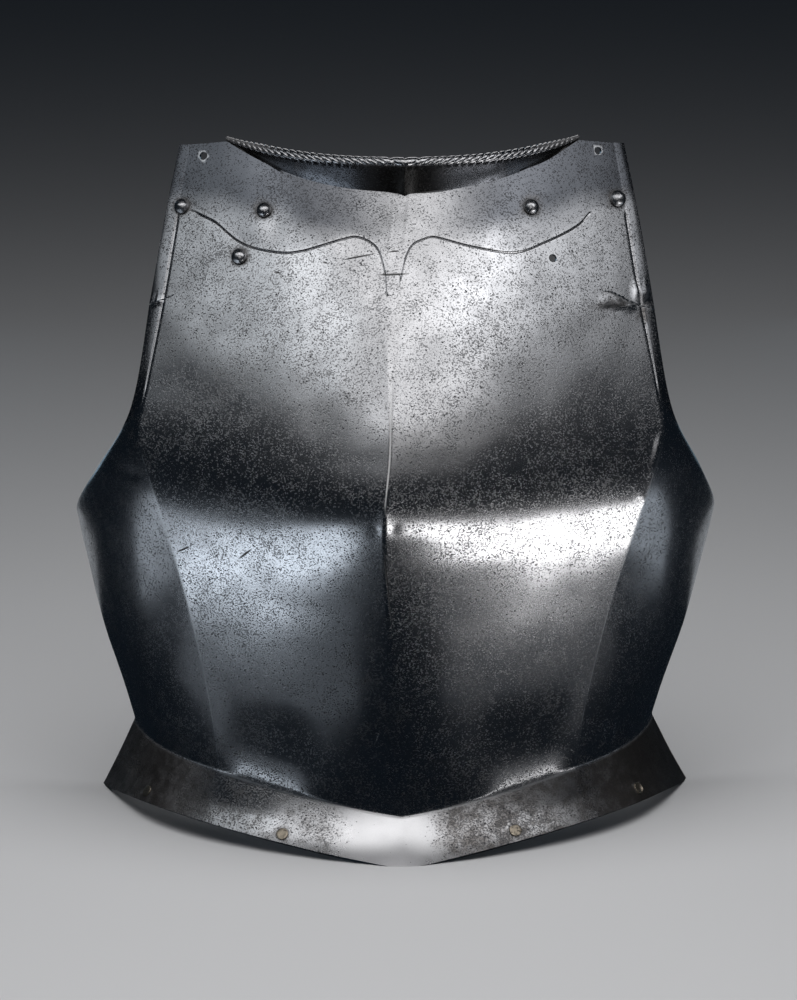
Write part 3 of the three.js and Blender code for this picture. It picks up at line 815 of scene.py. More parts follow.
# The narrow borders beside the armholes get painted shade.
STRIP_SHADE, STRIP_FADE, STRIP_FROM, STRIP_RISE = 0.45, 0.1, 6.4, 0.6
above_line = smooth((sheet_levels - line_level(sheet_columns)) * MM_PER_LEVEL / FIELD_STEP_MM)
dull_and_shade = above_line * (1 - near(across, FIELD_MIDDLE, FIELD_HALF_WIDTH))
dull_and_shade *= DULL_LOW + DULL_MORE * smooth((sheet_levels - DULL_FROM) / DULL_FADE)
knock_highlight = near(np.hypot(across - KNOCK_ACROSS, up - KNOCK_UP), 0, KNOCK_RADIUS)
dull_and_shade *= 1 - KNOCK_HIGHLIGHT * knock_highlight
shaded_strips = smooth((share - 1) / STRIP_FADE) * smooth((sheet_levels - STRIP_FROM) / STRIP_RISE)
dull_and_shade = np.maximum(dull_and_shade, STRIP_SHADE * shaded_strips)
paint(sheet, "dull_and_shade", dull_and_shade)
print("dull up to:", round(float(dull_and_shade.max()), 2))

# %% Folds rubbed bright and given painted highlights, and painted highlights on the tab and the flange's middle
CREST_HALF_WIDTH, KEEL_SHARE = 0.6, 0.7  # millimetres, and how much narrower the keel's is
KEEL_FROM, KEEL_RISE, KEEL_TO, KEEL_FALL = 4.8, 0.3, 7.6, 1.2  # in levels
CREASE_RISE, CREASE_TO, CREASE_FALL = 0.15, 6.0, 0.5
WAIST_LEVEL, WAIST_HALF_WIDTH = -0.02, 0.025
TAB_ACROSS, TAB_UP, TAB_RADIUS, TAB_RIM, TAB_TOP = 136.2, 310, 4.4, 0.9, 313
FOLD_WEAR_AND_HIGHLIGHT, FLANGE_HIGHLIGHT = 0.6, 0.8
in_columns = CREST_HALF_WIDTH / MM_PER_COLUMN
keel_crest = near(sheet_columns, 0, KEEL_SHARE * in_columns)
keel_crest = keel_crest * smooth((sheet_levels - KEEL_FROM) / KEEL_RISE)
keel_crest *= smooth((KEEL_TO - sheet_levels) / KEEL_FALL)
side_crest = near(share, 1, in_columns) * smooth((CREASE_TO - sheet_levels) / CREASE_FALL)
side_crest *= smooth(sheet_levels / CREASE_RISE)
waist_crest = near(sheet_levels, WAIST_LEVEL, WAIST_HALF_WIDTH) * (share < 1)
off_tab = np.hypot(across - TAB_ACROSS, up - TAB_UP)
tab_rim_highlight = near(off_tab, TAB_RADIUS, TAB_RIM) * (up < TAB_TOP)
# Wear and painted highlights on the folds; painted highlights on the tab's lower rim and on the
# flange's middle.
wear_and_highlight = keel_crest + FOLD_WEAR_AND_HIGHLIGHT * side_crest + FOLD_WEAR_AND_HIGHLIGHT * waist_crest + tab_rim_highlight
wear_and_highlight = np.clip(wear_and_highlight + FLANGE_HIGHLIGHT * flange * (1 - browned_and_shaded), 0, 1)
paint(sheet, "wear_and_highlight", wear_and_highlight)
for name in ("column", "level"):
    sheet.data.attributes.remove(sheet.data.attributes[name])
print("worn up to:", round(float(wear_and_highlight.max()), 2))

# %% [markdown]
# ## The roped neck
#
# The neck edge was turned up as a low standing flange and its rim rolled over, then filed into
# the strands of a rope that turn the other way on each side of the middle. It could be an array
# of single strands, but then they would stand apart. Here one skin runs up the flange, round the
# roll and down the back. Its loops slant with the twist, ten for each strand, so that each
# groove lies along a loop and stays sharp.

# %% The path of the rope
ROPE_RADIUS, ROPE_END_RADIUS, ROPE_END_FADE = 2.7, 1.5, 36
ROPE_HEIGHT, ROPE_END_RISE, ROPE_LEAN, ROPE_END_PULL = 387.2, 6.0, 0.4, 3


def rope_centre(column):
    """Centre of the rope above a column of the neck opening."""
    foot = sheet_line(column, np.full_like(column, TOP))
    outwards = np.abs(column) / NECK_SHARE
    up = ROPE_HEIGHT + ROPE_END_RISE * outwards**3
    forward = foot[..., 1] + ROPE_LEAN * (up - foot[..., 2]) - ROPE_END_PULL * outwards**2
    return np.stack([foot[..., 0], forward, up], axis=-1)


neck_columns = np.linspace(-NECK_SHARE, NECK_SHARE, 801)
neck_path = rope_centre(neck_columns)
neck_lengths = np.linalg.norm(np.diff(neck_path, axis=0), axis=1)
neck_lengths = np.concatenate([[0], np.cumsum(neck_lengths)])
ROPE_LENGTH = neck_lengths[-1]


def neck_column(along):
    """The column under a place along the rope."""
    return np.interp(along, neck_lengths, neck_columns)


print("rope length in mm:", round(float(ROPE_LENGTH), 1))

# %% The blank of the rope, and where each of its points goes
STRAND, LOOPS_PER_STRAND = 4.3, 10
ROLL_POINTS, WALL_POINTS = 28, 7  # points round the roll, and up each face of the flange
CHEVRON_HALF = 8  # the strands turn the other way over this stretch
loops = 2 * int(round(ROPE_LENGTH / STRAND / 2)) * LOOPS_PER_STRAND
ring = 2 * WALL_POINTS + ROLL_POINTS
bpy.ops.mesh.primitive_grid_add(x_subdivisions=ring, y_subdivisions=loops, size=2)
rope = added("neck_rope")
flat = points_of(rope)
around = grid_index(flat[:, 0], ring + 1) % ring
past_roll = around - WALL_POINTS - ROLL_POINTS
along = (flat[:, 1] + 1) / 2 * ROPE_LENGTH
from_middle = along - ROPE_LENGTH / 2
to_end = ROPE_LENGTH / 2 - np.abs(from_middle)
roll = np.clip((around - WALL_POINTS) / (ROLL_POINTS - 1), 0, 1)
back = np.clip((past_roll + 1) / WALL_POINTS, 0, 1)
turn = np.sign(from_middle) * smooth(np.abs(from_middle) / CHEVRON_HALF)
slant = turn * np.clip(to_end / ROPE_END_FADE, 0, 1)
print("points round the rope and along it:", ring, loops)

# %% The roll and its grooves
ROLL_START, ROLL_SWEEP = math.radians(-60), math.radians(300)
ROPE_GROOVE, GROOVE_SHARPNESS = 0.62, 9
GROOVE_END_FADE, GROOVE_SIDE_FADE = 12, 0.08
shift = slant * ROPE_RADIUS * ROLL_SWEEP * roll * (1 - back)
strand = np.abs(np.cos(np.pi * from_middle / STRAND)) ** GROOVE_SHARPNESS
groove = ROPE_GROOVE * strand * np.clip(to_end / GROOVE_END_FADE, 0, 1)
groove *= smooth(roll / GROOVE_SIDE_FADE) * smooth((1 - roll) / GROOVE_SIDE_FADE)
radius = ROPE_END_RADIUS + (ROPE_RADIUS - ROPE_END_RADIUS) * smooth(to_end / ROPE_END_FADE)
centre_column = neck_column(along + shift)
centre = rope_centre(centre_column)
run = rope_centre(np.minimum(centre_column + 0.01, NECK_SHARE))
run -= rope_centre(np.maximum(centre_column - 0.01, -NECK_SHARE))
run[:, 2] = 0
run /= np.linalg.norm(run, axis=1, keepdims=True)
front = np.stack([-run[:, 1], run[:, 0], np.zeros(len(run))], axis=1)
angle = ROLL_START + ROLL_SWEEP * roll
rim = centre + front * ((radius - groove) * np.cos(angle))[:, None]
rim[:, 2] += (radius - groove) * np.sin(angle)
print("deepest groove in mm:", round(float(groove.max()), 2))

# %% The flange that carries the roll
ROOT_DROP = 0.15  # levels below the sheet's top edge where the flange is rooted
ROOT_DEPTHS, BACK_DEPTH = (0.25, 0.75), 0.9  # shares of the wall
NECK_HOLLOW = 0.5  # how far the flange sweeps in before it meets the roll
foot_column = neck_column(along)
low_level, top_level = np.full_like(along, TOP - ROOT_DROP), np.full_like(along, float(TOP))
foot, foot_normal = sheet_line(foot_column, top_level), outward(foot_column, top_level)
low, low_normal = sheet_line(foot_column, low_level), outward(foot_column, low_level)
rise = np.clip((around - 1) / (WALL_POINTS - 1), 0, 1)[:, None]
fall = np.clip((past_roll + 1) / (WALL_POINTS - 1), 0, 1)[:, None]
skin = foot * (1 - rise) + rim * rise
skin -= front * (4 * NECK_HOLLOW * rise * (1 - rise))
back_foot = foot - foot_normal * BACK_DEPTH * WALL
skin = np.where(fall > 0, skin * (1 - fall) + back_foot * fall, skin)
for point, depth in ((0, ROOT_DEPTHS[0]), (ring - 1, ROOT_DEPTHS[1])):
    skin = np.where((around == point)[:, None], low - low_normal * depth * WALL, skin)
set_points(rope, to_frame(skin))
print("points of the rope's skin:", len(skin))

# %% Painted shade on the neck's standing flange, and closed ends
UNSHADED_HALF, SHADE_HALF = 62, 24  # painted shade: dark in the middle and again towards the ends
SHADE_RISE, END_RISE, END_SHADE = 30, 45, 0.55
WALL_SHADE = 0.9
# Painted shade on the faces of the standing flange below and behind the roll; the wall also gets the
# bluish dull colour as painted shade.
on_wall = smooth((WALL_POINTS + 3 - around) / 4) + smooth(past_roll / 3)
past_unshaded = np.abs(from_middle) - UNSHADED_HALF
in_shade = np.exp(-((from_middle / SHADE_HALF) ** 4)) + smooth(past_unshaded / SHADE_RISE)
end_shade = END_SHADE * smooth(past_unshaded / END_RISE)
paint(rope, "dirt_and_shade", np.maximum(on_wall * np.clip(in_shade, 0, 1), end_shade))
paint(rope, "dull_and_shade", WALL_SHADE * np.clip(on_wall, 0, 1))


def close_rope_ends():
    """Caps the two open ends of the skin."""
    bpy.ops.mesh.select_all(action="DESELECT")
    bpy.ops.mesh.select_non_manifold()
    bpy.ops.mesh.fill()


in_edit_mode(
    rope,
    lambda: bpy.ops.mesh.remove_doubles(threshold=1e-6),
    close_rope_ends,
    lambda: bpy.ops.mesh.select_all(action="SELECT"),
    lambda: bpy.ops.mesh.normals_make_consistent(inside=False),
)
print("neck rope:", loops // LOOPS_PER_STRAND, "strands,", triangle_count(rope), "triangles")

# %% [markdown]
# ## Rivets
#
# The strap rivets have domed heads, set by hand and each a little out of round. They are made
# from a ball that is cut in half, flattened, and given a shank and a peened tail. The lining
# rivets on the flange are flat buttons, and the last one is torn open to a ring.

# %% Domed rivets
TAIL_RADIUS, TAIL_HEIGHT = 2.9, 0.9
HAMMERED, HAMMER_SIZE = 0.16, 2.6  # how far a rivet head is out of round, over what length
BALL_SIDES, BALL_RINGS, SHANK_SIDES = 40, 20, 24
BALL_CUT = 0.001  # a ball is cut a hair above its middle ring
HEAD_SINK, SHANK_MORE = 0.15, 0.6
TAIL_SEED = 5  # a tail isn't hammered like its head
noise.seed_set(1)  # without a seed the hammering would differ on each run


def hammered(piece, seed, depth=HAMMERED, size=HAMMER_SIZE):
    """Moves the points of a small piece a little, as a hammer leaves it."""
    for vertex in piece.data.vertices:
        spot = vertex.co / (size * MM) + Vector((seed, 0, 0))
        vertex.co += noise.noise_vector(spot) * depth * MM


def half_ball(name, radius, height):
    """A dome of a given height with a flat underside, standing on the origin."""
    bpy.ops.mesh.primitive_uv_sphere_add(
        segments=BALL_SIDES, ring_count=BALL_RINGS, radius=radius * MM
    )
    dome = added(name)
    in_edit_mode(
        dome,
        lambda: bpy.ops.mesh.bisect(
            plane_co=(0, 0, BALL_CUT * MM), plane_no=(0, 0, 1), clear_inner=True, use_fill=True
        ),
        lambda: bpy.ops.transform.resize(value=(1, 1, height / radius)),
    )
    return dome


def domed_rivet(name, radius, height, seed):
    """Head, shank and peened tail of a strap rivet, along +Z."""
    head = half_ball(name, radius, height)
    hammered(head, seed)
    head.data.transform(Matrix.Translation((0, 0, -HEAD_SINK * MM)))
    bpy.ops.mesh.primitive_cylinder_add(
        vertices=SHANK_SIDES,
        radius=SHANK * MM,
        depth=(WALL + SHANK_MORE) * MM,
        location=(0, 0, -WALL / 2 * MM),
    )
    shank = added("shank")
    tail = half_ball("tail", TAIL_RADIUS, TAIL_HEIGHT)
    hammered(tail, seed + TAIL_SEED)
    tail.data.transform(Matrix.Rotation(math.pi, 4, "X"))
    tail.data.transform(Matrix.Translation((0, 0, -WALL * MM)))
    only(head, shank, tail)
    bpy.ops.object.join()
    return added(name)


rivets = {}
for seed, (name, _, _, radius, height) in enumerate(DOMED_RIVETS):
    rivets[name] = domed_rivet("dome_" + name, radius, height, seed)
    stood_on(rivets[name], *spots[name])
print("domed rivets:", len(rivets))

# %% Painted shade round the foot of each head
FOOT_TOP, FOOT_FADE = 0.62, 0.5  # shares of a head's height
FOOT_SHADE, UNDER_SHADE, UNDER_FROM, UNDER_FADE = 0.45, 0.9, 0.1, 0.7


def shade_underside(rivet, column, level, radius, height):
    """Painted shade round the foot of a head, darker on its underside."""
    place, normal = seat_on(column, level)
    off = points_of(rivet) - np.array(place)
    above = off @ np.array(normal)
    below = -(off - above[:, None] * np.array(normal))[:, 2] / (radius * MM)
    foot = smooth((FOOT_TOP - above / (height * MM)) / FOOT_FADE)
    under = FOOT_SHADE + UNDER_SHADE * smooth((below + UNDER_FROM) / UNDER_FADE)
    paint(rivet, "dirt_and_shade", np.clip(foot * under, 0, 1))


for name, _, _, radius, height in DOMED_RIVETS:
    shade_underside(rivets[name], *spots[name], radius, height)
print("shade_painted rivets:", ", ".join(rivets))

# %% Flat lining rivets
BUTTON_RADIUS, BUTTON_HEIGHT, BUTTON_SIDES = 3.5, 0.9, 40
BUTTON_SEED, BUTTON_SINK = 20, 0.2
RIM_ROUND, RIM_SEGMENTS = 0.3, 3
WHOLE_RIM, WHOLE_LIFT = 0.8, 0.12  # a whole head swells a little inside its rim
TORN_RIM, TORN_LIFT = 1.0, -0.7  # a torn one is dished
INSETS = 0.5, 0.7
BUTTON_HAMMERED, BUTTON_HAMMER_SIZE = 0.3, 3.2


def flat_button(name, seed, torn):
    """A flat rivet head with a softened rim; a torn one is dished to a ring."""
    bpy.ops.mesh.primitive_cylinder_add(
        vertices=BUTTON_SIDES,
        radius=BUTTON_RADIUS * MM,
        depth=BUTTON_HEIGHT * MM,
        location=(0, 0, BUTTON_HEIGHT / 2 * MM),
    )
    button = added(name)
    only(button)
    bpy.ops.object.transform_apply()
    apply_modifier(
        button, "BEVEL", width=RIM_ROUND * MM, segments=RIM_SEGMENTS, limit_method="ANGLE"
    )
    in_edit_mode(button, lambda: bpy.ops.mesh.select_all(action="DESELECT"))
    top = max(button.data.polygons, key=lambda face: face.center.z + face.area)
    top.select = True
    bpy.ops.object.mode_set(mode="EDIT")
    bpy.ops.mesh.inset(thickness=(TORN_RIM if torn else WHOLE_RIM) * MM)
    bpy.ops.transform.translate(value=(0, 0, (TORN_LIFT if torn else WHOLE_LIFT) * MM))
    for width in INSETS:
        bpy.ops.mesh.inset(thickness=width * MM)
    bpy.ops.object.mode_set(mode="OBJECT")
    hammered(button, seed, depth=BUTTON_HAMMERED, size=BUTTON_HAMMER_SIZE)
    return button


for seed, (name, _, _) in enumerate(FLANGE_RIVETS):
    rivets[name] = flat_button("button_" + name, seed + BUTTON_SEED, torn=name == "waist_4")
    stood_on(rivets[name], *spots[name], sink=BUTTON_SINK)
print("flat rivets:", len(FLANGE_RIVETS))

# %% [markdown]
# ## The steel
#
# Old polished steel is two things at once. Between the pits it is still a mirror that has gone a
# little dull. In the pits sits dark, matt oxide. The pits are fractions of a millimetre wide, run
# together in clusters, and lie slightly slanted, the way the plate was once scoured. Over that
# go grey patina in clouds, brown stains that are partly painted shade, painted shade on the neck's
# flange, the armhole borders, the flange's ends and under each rivet head, and bright folds that
# are partly worn and partly painted highlights. Thin scratches are bright, deeper cuts hold dirt,
# and the foot of each rivet holds dirt and painted shade. One recipe with a few numbers to set
# makes the plate, the rivets and the browned lining rivets alike.

# %% Small helpers for node trees

class Tree:
    """A material's node tree with short calls to add and link nodes."""

    def __init__(self, name):
        self.material = bpy.data.materials.new(name)
        self.material.use_nodes = True
        self.nodes = self.material.node_tree.nodes
        self.links = self.material.node_tree.links
        self.shader = self.nodes["Principled BSDF"]
        self.place = self.nodes.new("ShaderNodeTexCoord").outputs["Object"]

    def put(self, value, socket):
        """Links a node's output to a socket, or writes a plain value there."""
        if isinstance(value, bpy.types.NodeSocket):
            self.links.new(value, socket)
        else:
            socket.default_value = value

    def stretched(self, scale, angle=0.0):
        """Object coordinates turned about Y in the front view, then scaled per millimetre."""
        node = self.nodes.new("ShaderNodeMapping")
        node.vector_type = "POINT"
        node.inputs["Rotation"].default_value = (0, math.radians(angle), 0)
        node.inputs["Scale"].default_value = [1 / MM * s for s in scale]
        self.links.new(self.place, node.inputs["Vector"])
        return node.outputs["Vector"]

    def noise(self, vector, scale, detail=2.0, roughness=0.5):
        """A noise texture's value."""
        node = self.nodes.new("ShaderNodeTexNoise")
        self.put(vector, node.inputs["Vector"])
        node.inputs["Scale"].default_value = scale
        node.inputs["Detail"].default_value = detail
        node.inputs["Roughness"].default_value = roughness
        return node.outputs["Fac"]

    def math(self, kind, a, b=0.0):
        """One arithmetic step."""
        node = self.nodes.new("ShaderNodeMath")
        node.operation = kind
        self.put(a, node.inputs[0])
        self.put(b, node.inputs[1])
        return node.outputs[0]

    def plus(self, a, b, share=1.0):
        """a and a share of b."""
        return self.math("ADD", a, b if share == 1.0 else self.math("MULTIPLY", b, share))

    def ramp(self, value, low, high, start=0.0, end=1.0):
        """start below low, end above high, smooth between."""
        node = self.nodes.new("ShaderNodeMapRange")
        node.interpolation_type = "SMOOTHSTEP"
        self.put(value, node.inputs["Value"])
        node.inputs["From Min"].default_value = low
        node.inputs["From Max"].default_value = high
        node.inputs["To Min"].default_value = start
        node.inputs["To Max"].default_value = end
        return node.outputs["Result"]

    def mix(self, share, a, b):
        """Colour a where share is 0, b where it is 1."""
        node = self.nodes.new("ShaderNodeMix")
        node.data_type = "RGBA"
        self.put(share, node.inputs["Factor"])
        self.put(a, node.inputs["A"])
        self.put(b, node.inputs["B"])
        return node.outputs["Result"]

    def dots(self, vector, scale):
        """Round spots of many sizes, highest in the middle of each."""
        node = self.nodes.new("ShaderNodeTexVoronoi")
        self.put(vector, node.inputs["Vector"])
        node.inputs["Scale"].default_value = scale
        chance = self.nodes.new("ShaderNodeSeparateColor")
        self.links.new(node.outputs["Color"], chance.inputs["Color"])
        return self.math("SUBTRACT", chance.outputs["Red"], node.outputs["Distance"])

    def attribute(self, name):
        """A number painted on the mesh."""
        node = self.nodes.new("ShaderNodeAttribute")
        node.attribute_name = name
        return node.outputs["Fac"]

    def bump(self, height, distance, strength=1.0, under=None):
        """A bump from a height, over another bump if one is given."""
        node = self.nodes.new("ShaderNodeBump")
        node.inputs["Strength"].default_value = strength
        node.inputs["Distance"].default_value = distance * MM
        self.put(height, node.inputs["Height"])
        if under is not None:
            self.links.new(under, node.inputs["Normal"])
        return node.outputs["Normal"]


# %% Colours of old steel, and its marks
POLISHED = (0.64, 0.635, 0.65, 1)
OXIDE = (0.07, 0.07, 0.075, 1)
TARNISH = (0.15, 0.135, 0.125, 1)
# The dull field's colour, also used for painted shade on the armhole borders and the neck's flange.
DULLED_AND_SHADED = (0.08, 0.086, 0.1, 1)
LINING_IRON = (0.5, 0.43, 0.34, 1)
# Near black, for dirt in the cuts and for painted shade under the rivets, on the neck's flange and
# on the flange's ends.
DIRT_AND_SHADE = (0.010, 0.009, 0.008, 1)
# For worn folds, painted highlights and bright scratches.
BRIGHT = (0.80, 0.79, 0.80, 1)
SCRATCHES = (
    # across, forward, up at both ends, half width
    (-17.6, 124.6, 56.1, -10.8, 126.1, 60.6, 0.35),
    (-12.9, 124.1, 47.6, -3.2, 125.8, 53.9, 0.4),
    (-14.2, 126.5, 65.8, -11.8, 128.5, 75.5, 0.35),
    (118.0, 76.9, 43.8, 119.5, 82.9, 72.0, 1.6),
    (123.8, 70.4, 43.5, 125.5, 75.3, 66.6, 1.2),
)
CUTS = (
    # the same, for cuts with dirt in them; the last one runs down the keel below the peak
    (-33.2, 93.4, 334.9, -11.7, 95.0, 339.3, 0.5),
    (-14.2, 101.8, 328.6, 7.4, 102.3, 329.3, 0.6),
    (-6.7, 95.3, 339.8, 0.7, 95.9, 340.6, 0.4),
    (-42.0, 91.7, 333.7, -39.0, 92.6, 333.3, 0.5),
    (-69.2, 86.0, 327.3, -65.0, 87.7, 326.9, 0.5),
    (-124.3, 103.4, 172.1, -116.3, 108.9, 177.0, 0.5),
    (-89.6, 122.1, 173.1, -81.6, 127.1, 180.7, 0.65),
    (-10.3, 156.7, 193.0, -5.2, 142.0, 137.2, 0.45),
)
THROUGH = 0.05  # metres that a mark reaches into the sheet and out of it


def spot_mask(tree, middle, size, slope=0.0):
    """1 at a place, 0 outside an ellipsoid of half sizes around it."""
    node = tree.nodes.new("ShaderNodeMapping")
    node.vector_type = "TEXTURE"
    node.inputs["Location"].default_value = middle
    node.inputs["Rotation"].default_value = 0, -slope, 0
    node.inputs["Scale"].default_value = size
    tree.links.new(tree.place, node.inputs["Vector"])
    spot = tree.nodes.new("ShaderNodeTexGradient")
    spot.gradient_type = "SPHERICAL"
    tree.links.new(node.outputs["Vector"], spot.inputs["Vector"])
    return spot.outputs["Fac"]


def scratched(tree, rows):
    """1 along thin lines, each between two places and fading to its ends."""
    lines = 0.0
    for row in rows:
        start, end = to_frame(row[0:3]), to_frame(row[3:6])
        slope = math.atan2(end[2] - start[2], end[0] - start[0])
        size = np.linalg.norm(end - start) / 2, THROUGH, row[6] * MM
        lines = tree.math("MAXIMUM", lines, spot_mask(tree, (start + end) / 2, size, slope))
    return lines


print("scratches and cuts:", len(SCRATCHES), len(CUTS))

# %% Pits
SLANT, SLANTED, EVEN = 24, (0.8, 1.0, 1.0), (1, 1, 1)
GRAIN, DOTS, CLUSTER, DRIFT = 1.2, 0.75, 0.13, 0.02  # scales, per millimetre
GRAIN_ROUGHNESS, CLUSTER_DETAIL, CLUSTER_ROUGHNESS = 0.6, 4, 0.65
BY_CLUSTER, BY_DRIFT, BY_STAIN_AND_SHADE, BY_WEAR_AND_HIGHLIGHT = 0.3, 0.2, 0.1, -0.2  # what crowds the pits
FINE_FROM, FINE_TO, FINE_SHARE = 0.80, 0.90, 0.6
LARGE_FROM, LARGE_TO = 0.87, 0.96


def pits_in(tree, plain, cluster, stain_and_shade, wear_and_highlight, pitting):
    """0 on sound steel, 1 in a pit. A higher pitting gives more of them."""
    slanted = tree.stretched(SLANTED, angle=SLANT)
    grain = tree.noise(slanted, GRAIN, roughness=GRAIN_ROUGHNESS)
    crowd = tree.math("MULTIPLY", cluster, BY_CLUSTER)
    crowd = tree.plus(crowd, tree.noise(plain, DRIFT), BY_DRIFT)
    crowd = tree.plus(crowd, stain_and_shade, BY_STAIN_AND_SHADE)
    crowd = tree.plus(crowd, wear_and_highlight, BY_WEAR_AND_HIGHLIGHT)
    fine = tree.ramp(tree.plus(grain, crowd), FINE_FROM - pitting, FINE_TO - pitting)
    dots = tree.plus(tree.dots(slanted, DOTS), crowd)
    large = tree.ramp(dots, LARGE_FROM - pitting, LARGE_TO - pitting)
    return tree.math("MAXIMUM", tree.math("MULTIPLY", fine, FINE_SHARE), large)


# %% Patina, stains and wear
PATINA_FROM, PATINA_TO, PATINA_SHADE = 0.35, 0.7, 0.82
SALT, SALT_FROM, SALT_TO, SALT_SHARE = 1.5, 0.4, 0.75, 0.3  # small dull grains everywhere
MOTTLE_FROM, MOTTLE_TO, MOTTLE_LESS, MOTTLE_MORE = 0.35, 0.65, -0.25, 0.15
MOTTLE_FULL = 0.3  # stains at least this strong are fully mottled


def tarnished(tree, plain, metal, clouds, cluster, stain_and_shade, wear_and_highlight):
    """The colour of the steel between its pits."""
    shaded = [part * PATINA_SHADE for part in metal[:3]] + [1]
    colour = tree.mix(tree.ramp(clouds, PATINA_FROM, PATINA_TO), metal, shaded)
    salt = tree.ramp(tree.noise(plain, SALT, detail=1), SALT_FROM, SALT_TO, 0.0, SALT_SHARE)
    colour = tree.mix(salt, colour, TARNISH)
    # The dull field, and painted shade on the armhole borders and the neck's flange.
    colour = tree.mix(tree.attribute("dull_and_shade"), colour, DULLED_AND_SHADED)
    mottle = tree.ramp(cluster, MOTTLE_FROM, MOTTLE_TO, MOTTLE_LESS, MOTTLE_MORE)
    mottled = tree.math("MULTIPLY", tree.plus(stain_and_shade, mottle), tree.ramp(stain_and_shade, 0.0, MOTTLE_FULL))
    colour = tree.mix(tree.ramp(mottled, 0.0, 1.0), colour, TARNISH)
    # Worn folds and painted highlights go bright.
    return tree.mix(wear_and_highlight, colour, BRIGHT)


# %% Old polished steel
CLOUDS, CLOUD_DETAIL, CLOUD_ROUGHNESS = 0.05, 4, 0.62
SCRATCH_FROM, SCRATCH_TO, SCRATCH_SHARE = 0.2, 0.6, 0.7
CUT_FROM, CUT_TO, CUT_SHARE = 0.1, 0.5, 0.85
MARK_DEPTH = -2.0  # in pit depths
HALO_TO, HALO_SHARE = 0.55, 0.9
ROUGH_FROM, ROUGH_TO, SMOOTHEST, ROUGHEST = 0.3, 0.7, 0.18, 0.23
PIT_ROUGH, STAIN_AND_SHADE_ROUGH, WORN_AND_HIGHLIGHT_ROUGH = 0.2, 0.12, 0.12
PIT_FROM, PIT_SHINE, DIRT_AND_SHADE_SHINE = 0.3, 0.75, -0.6
PIT_DEPTH, PIT_STRENGTH = 0.10, 0.6


def old_steel(name, pitting=0.0, dullness=0.0, metal=POLISHED, scratches=(), cuts=(), halos=()):
    """Polished steel with clustered pits, patina, stains, marks, dirt, painted shade and painted
    highlights.
    """
    tree = Tree(name)
    plain = tree.stretched(EVEN)
    stain_and_shade, wear_and_highlight, dirt_and_shade = (tree.attribute(kind) for kind in ("stain_and_shade", "wear_and_highlight", "dirt_and_shade"))
    cluster = tree.noise(plain, CLUSTER, CLUSTER_DETAIL, CLUSTER_ROUGHNESS)
    clouds = tree.noise(plain, CLOUDS, CLOUD_DETAIL, CLOUD_ROUGHNESS)
    pits = pits_in(tree, plain, cluster, stain_and_shade, wear_and_highlight, pitting)
    colour = tarnished(tree, plain, metal, clouds, cluster, stain_and_shade, wear_and_highlight)
    colour = tree.mix(pits, colour, OXIDE)
    relief = tree.math("SUBTRACT", 1.0, pits)
    if scratches:
        line = scratched(tree, scratches)
        bright = tree.ramp(line, SCRATCH_FROM, SCRATCH_TO, 0.0, SCRATCH_SHARE)
        colour = tree.mix(bright, colour, BRIGHT)
        relief = tree.plus(relief, line, MARK_DEPTH)
    if cuts:
        line = scratched(tree, cuts)
        dirt_and_shade = tree.math("MAXIMUM", dirt_and_shade, tree.ramp(line, CUT_FROM, CUT_TO, 0.0, CUT_SHARE))
        relief = tree.plus(relief, line, MARK_DEPTH)
    # Dirt and painted shade round the foot of each rivet head.
    for middle, radius in halos:
        halo = tree.ramp(spot_mask(tree, middle, [radius * MM] * 3), 0.0, HALO_TO, 0.0, HALO_SHARE)
        dirt_and_shade = tree.math("MAXIMUM", dirt_and_shade, halo)
    # Dirt and painted shade mixed in near black.
    tree.put(tree.mix(dirt_and_shade, colour, DIRT_AND_SHADE), tree.shader.inputs["Base Color"])
    rough = tree.ramp(clouds, ROUGH_FROM, ROUGH_TO, SMOOTHEST + dullness, ROUGHEST + dullness)
    for cause, share in ((pits, PIT_ROUGH), (stain_and_shade, STAIN_AND_SHADE_ROUGH), (wear_and_highlight, WORN_AND_HIGHLIGHT_ROUGH)):
        rough = tree.plus(rough, cause, share)
    tree.put(rough, tree.shader.inputs["Roughness"])
    shine = tree.plus(tree.ramp(pits, PIT_FROM, 1.0, 1.0, PIT_SHINE), dirt_and_shade, DIRT_AND_SHADE_SHINE)
    tree.put(shine, tree.shader.inputs["Metallic"])
    tree.put(tree.bump(relief, PIT_DEPTH, PIT_STRENGTH), tree.shader.inputs["Normal"])
    return tree.material


# %% The plate's steel, the rivets' and the lining rivets'
HALO, BUTTON_HALO = 2.4, 1.6  # how far the dirt and painted shade reach past a rivet's head
halos = [(seat_on(*spots[name])[0], radius + HALO) for name, _, _, radius, _ in DOMED_RIVETS]
halos += [(seat_on(*spots[name])[0], BUTTON_RADIUS + BUTTON_HALO) for name, _, _ in FLANGE_RIVETS]
plate_steel = old_steel("pitted_plate_steel", scratches=SCRATCHES, cuts=CUTS, halos=halos)
rivet_steel = old_steel("rivet_steel", pitting=-0.05, dullness=0.08)
browned_steel = old_steel("browned_steel", dullness=0.25, metal=LINING_IRON)
print("materials:", plate_steel.name, rivet_steel.name, browned_steel.name)

# %% Smooth shading, finishes and places in the frame
SMOOTH_BELOW = math.radians(40)  # flatter folds than this are shaded smooth


def dress(piece, material, slot, *nodes):
    """Gives a piece its finish, rides it on the body and hides the frame nodes it takes the place
    of.
    """
    piece.data.materials.clear()
    piece.data.materials.append(material)
    only(piece)
    bpy.ops.object.shade_smooth_by_angle(angle=SMOOTH_BELOW)
    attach(piece, "root")
    if nodes:
        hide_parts(*nodes)


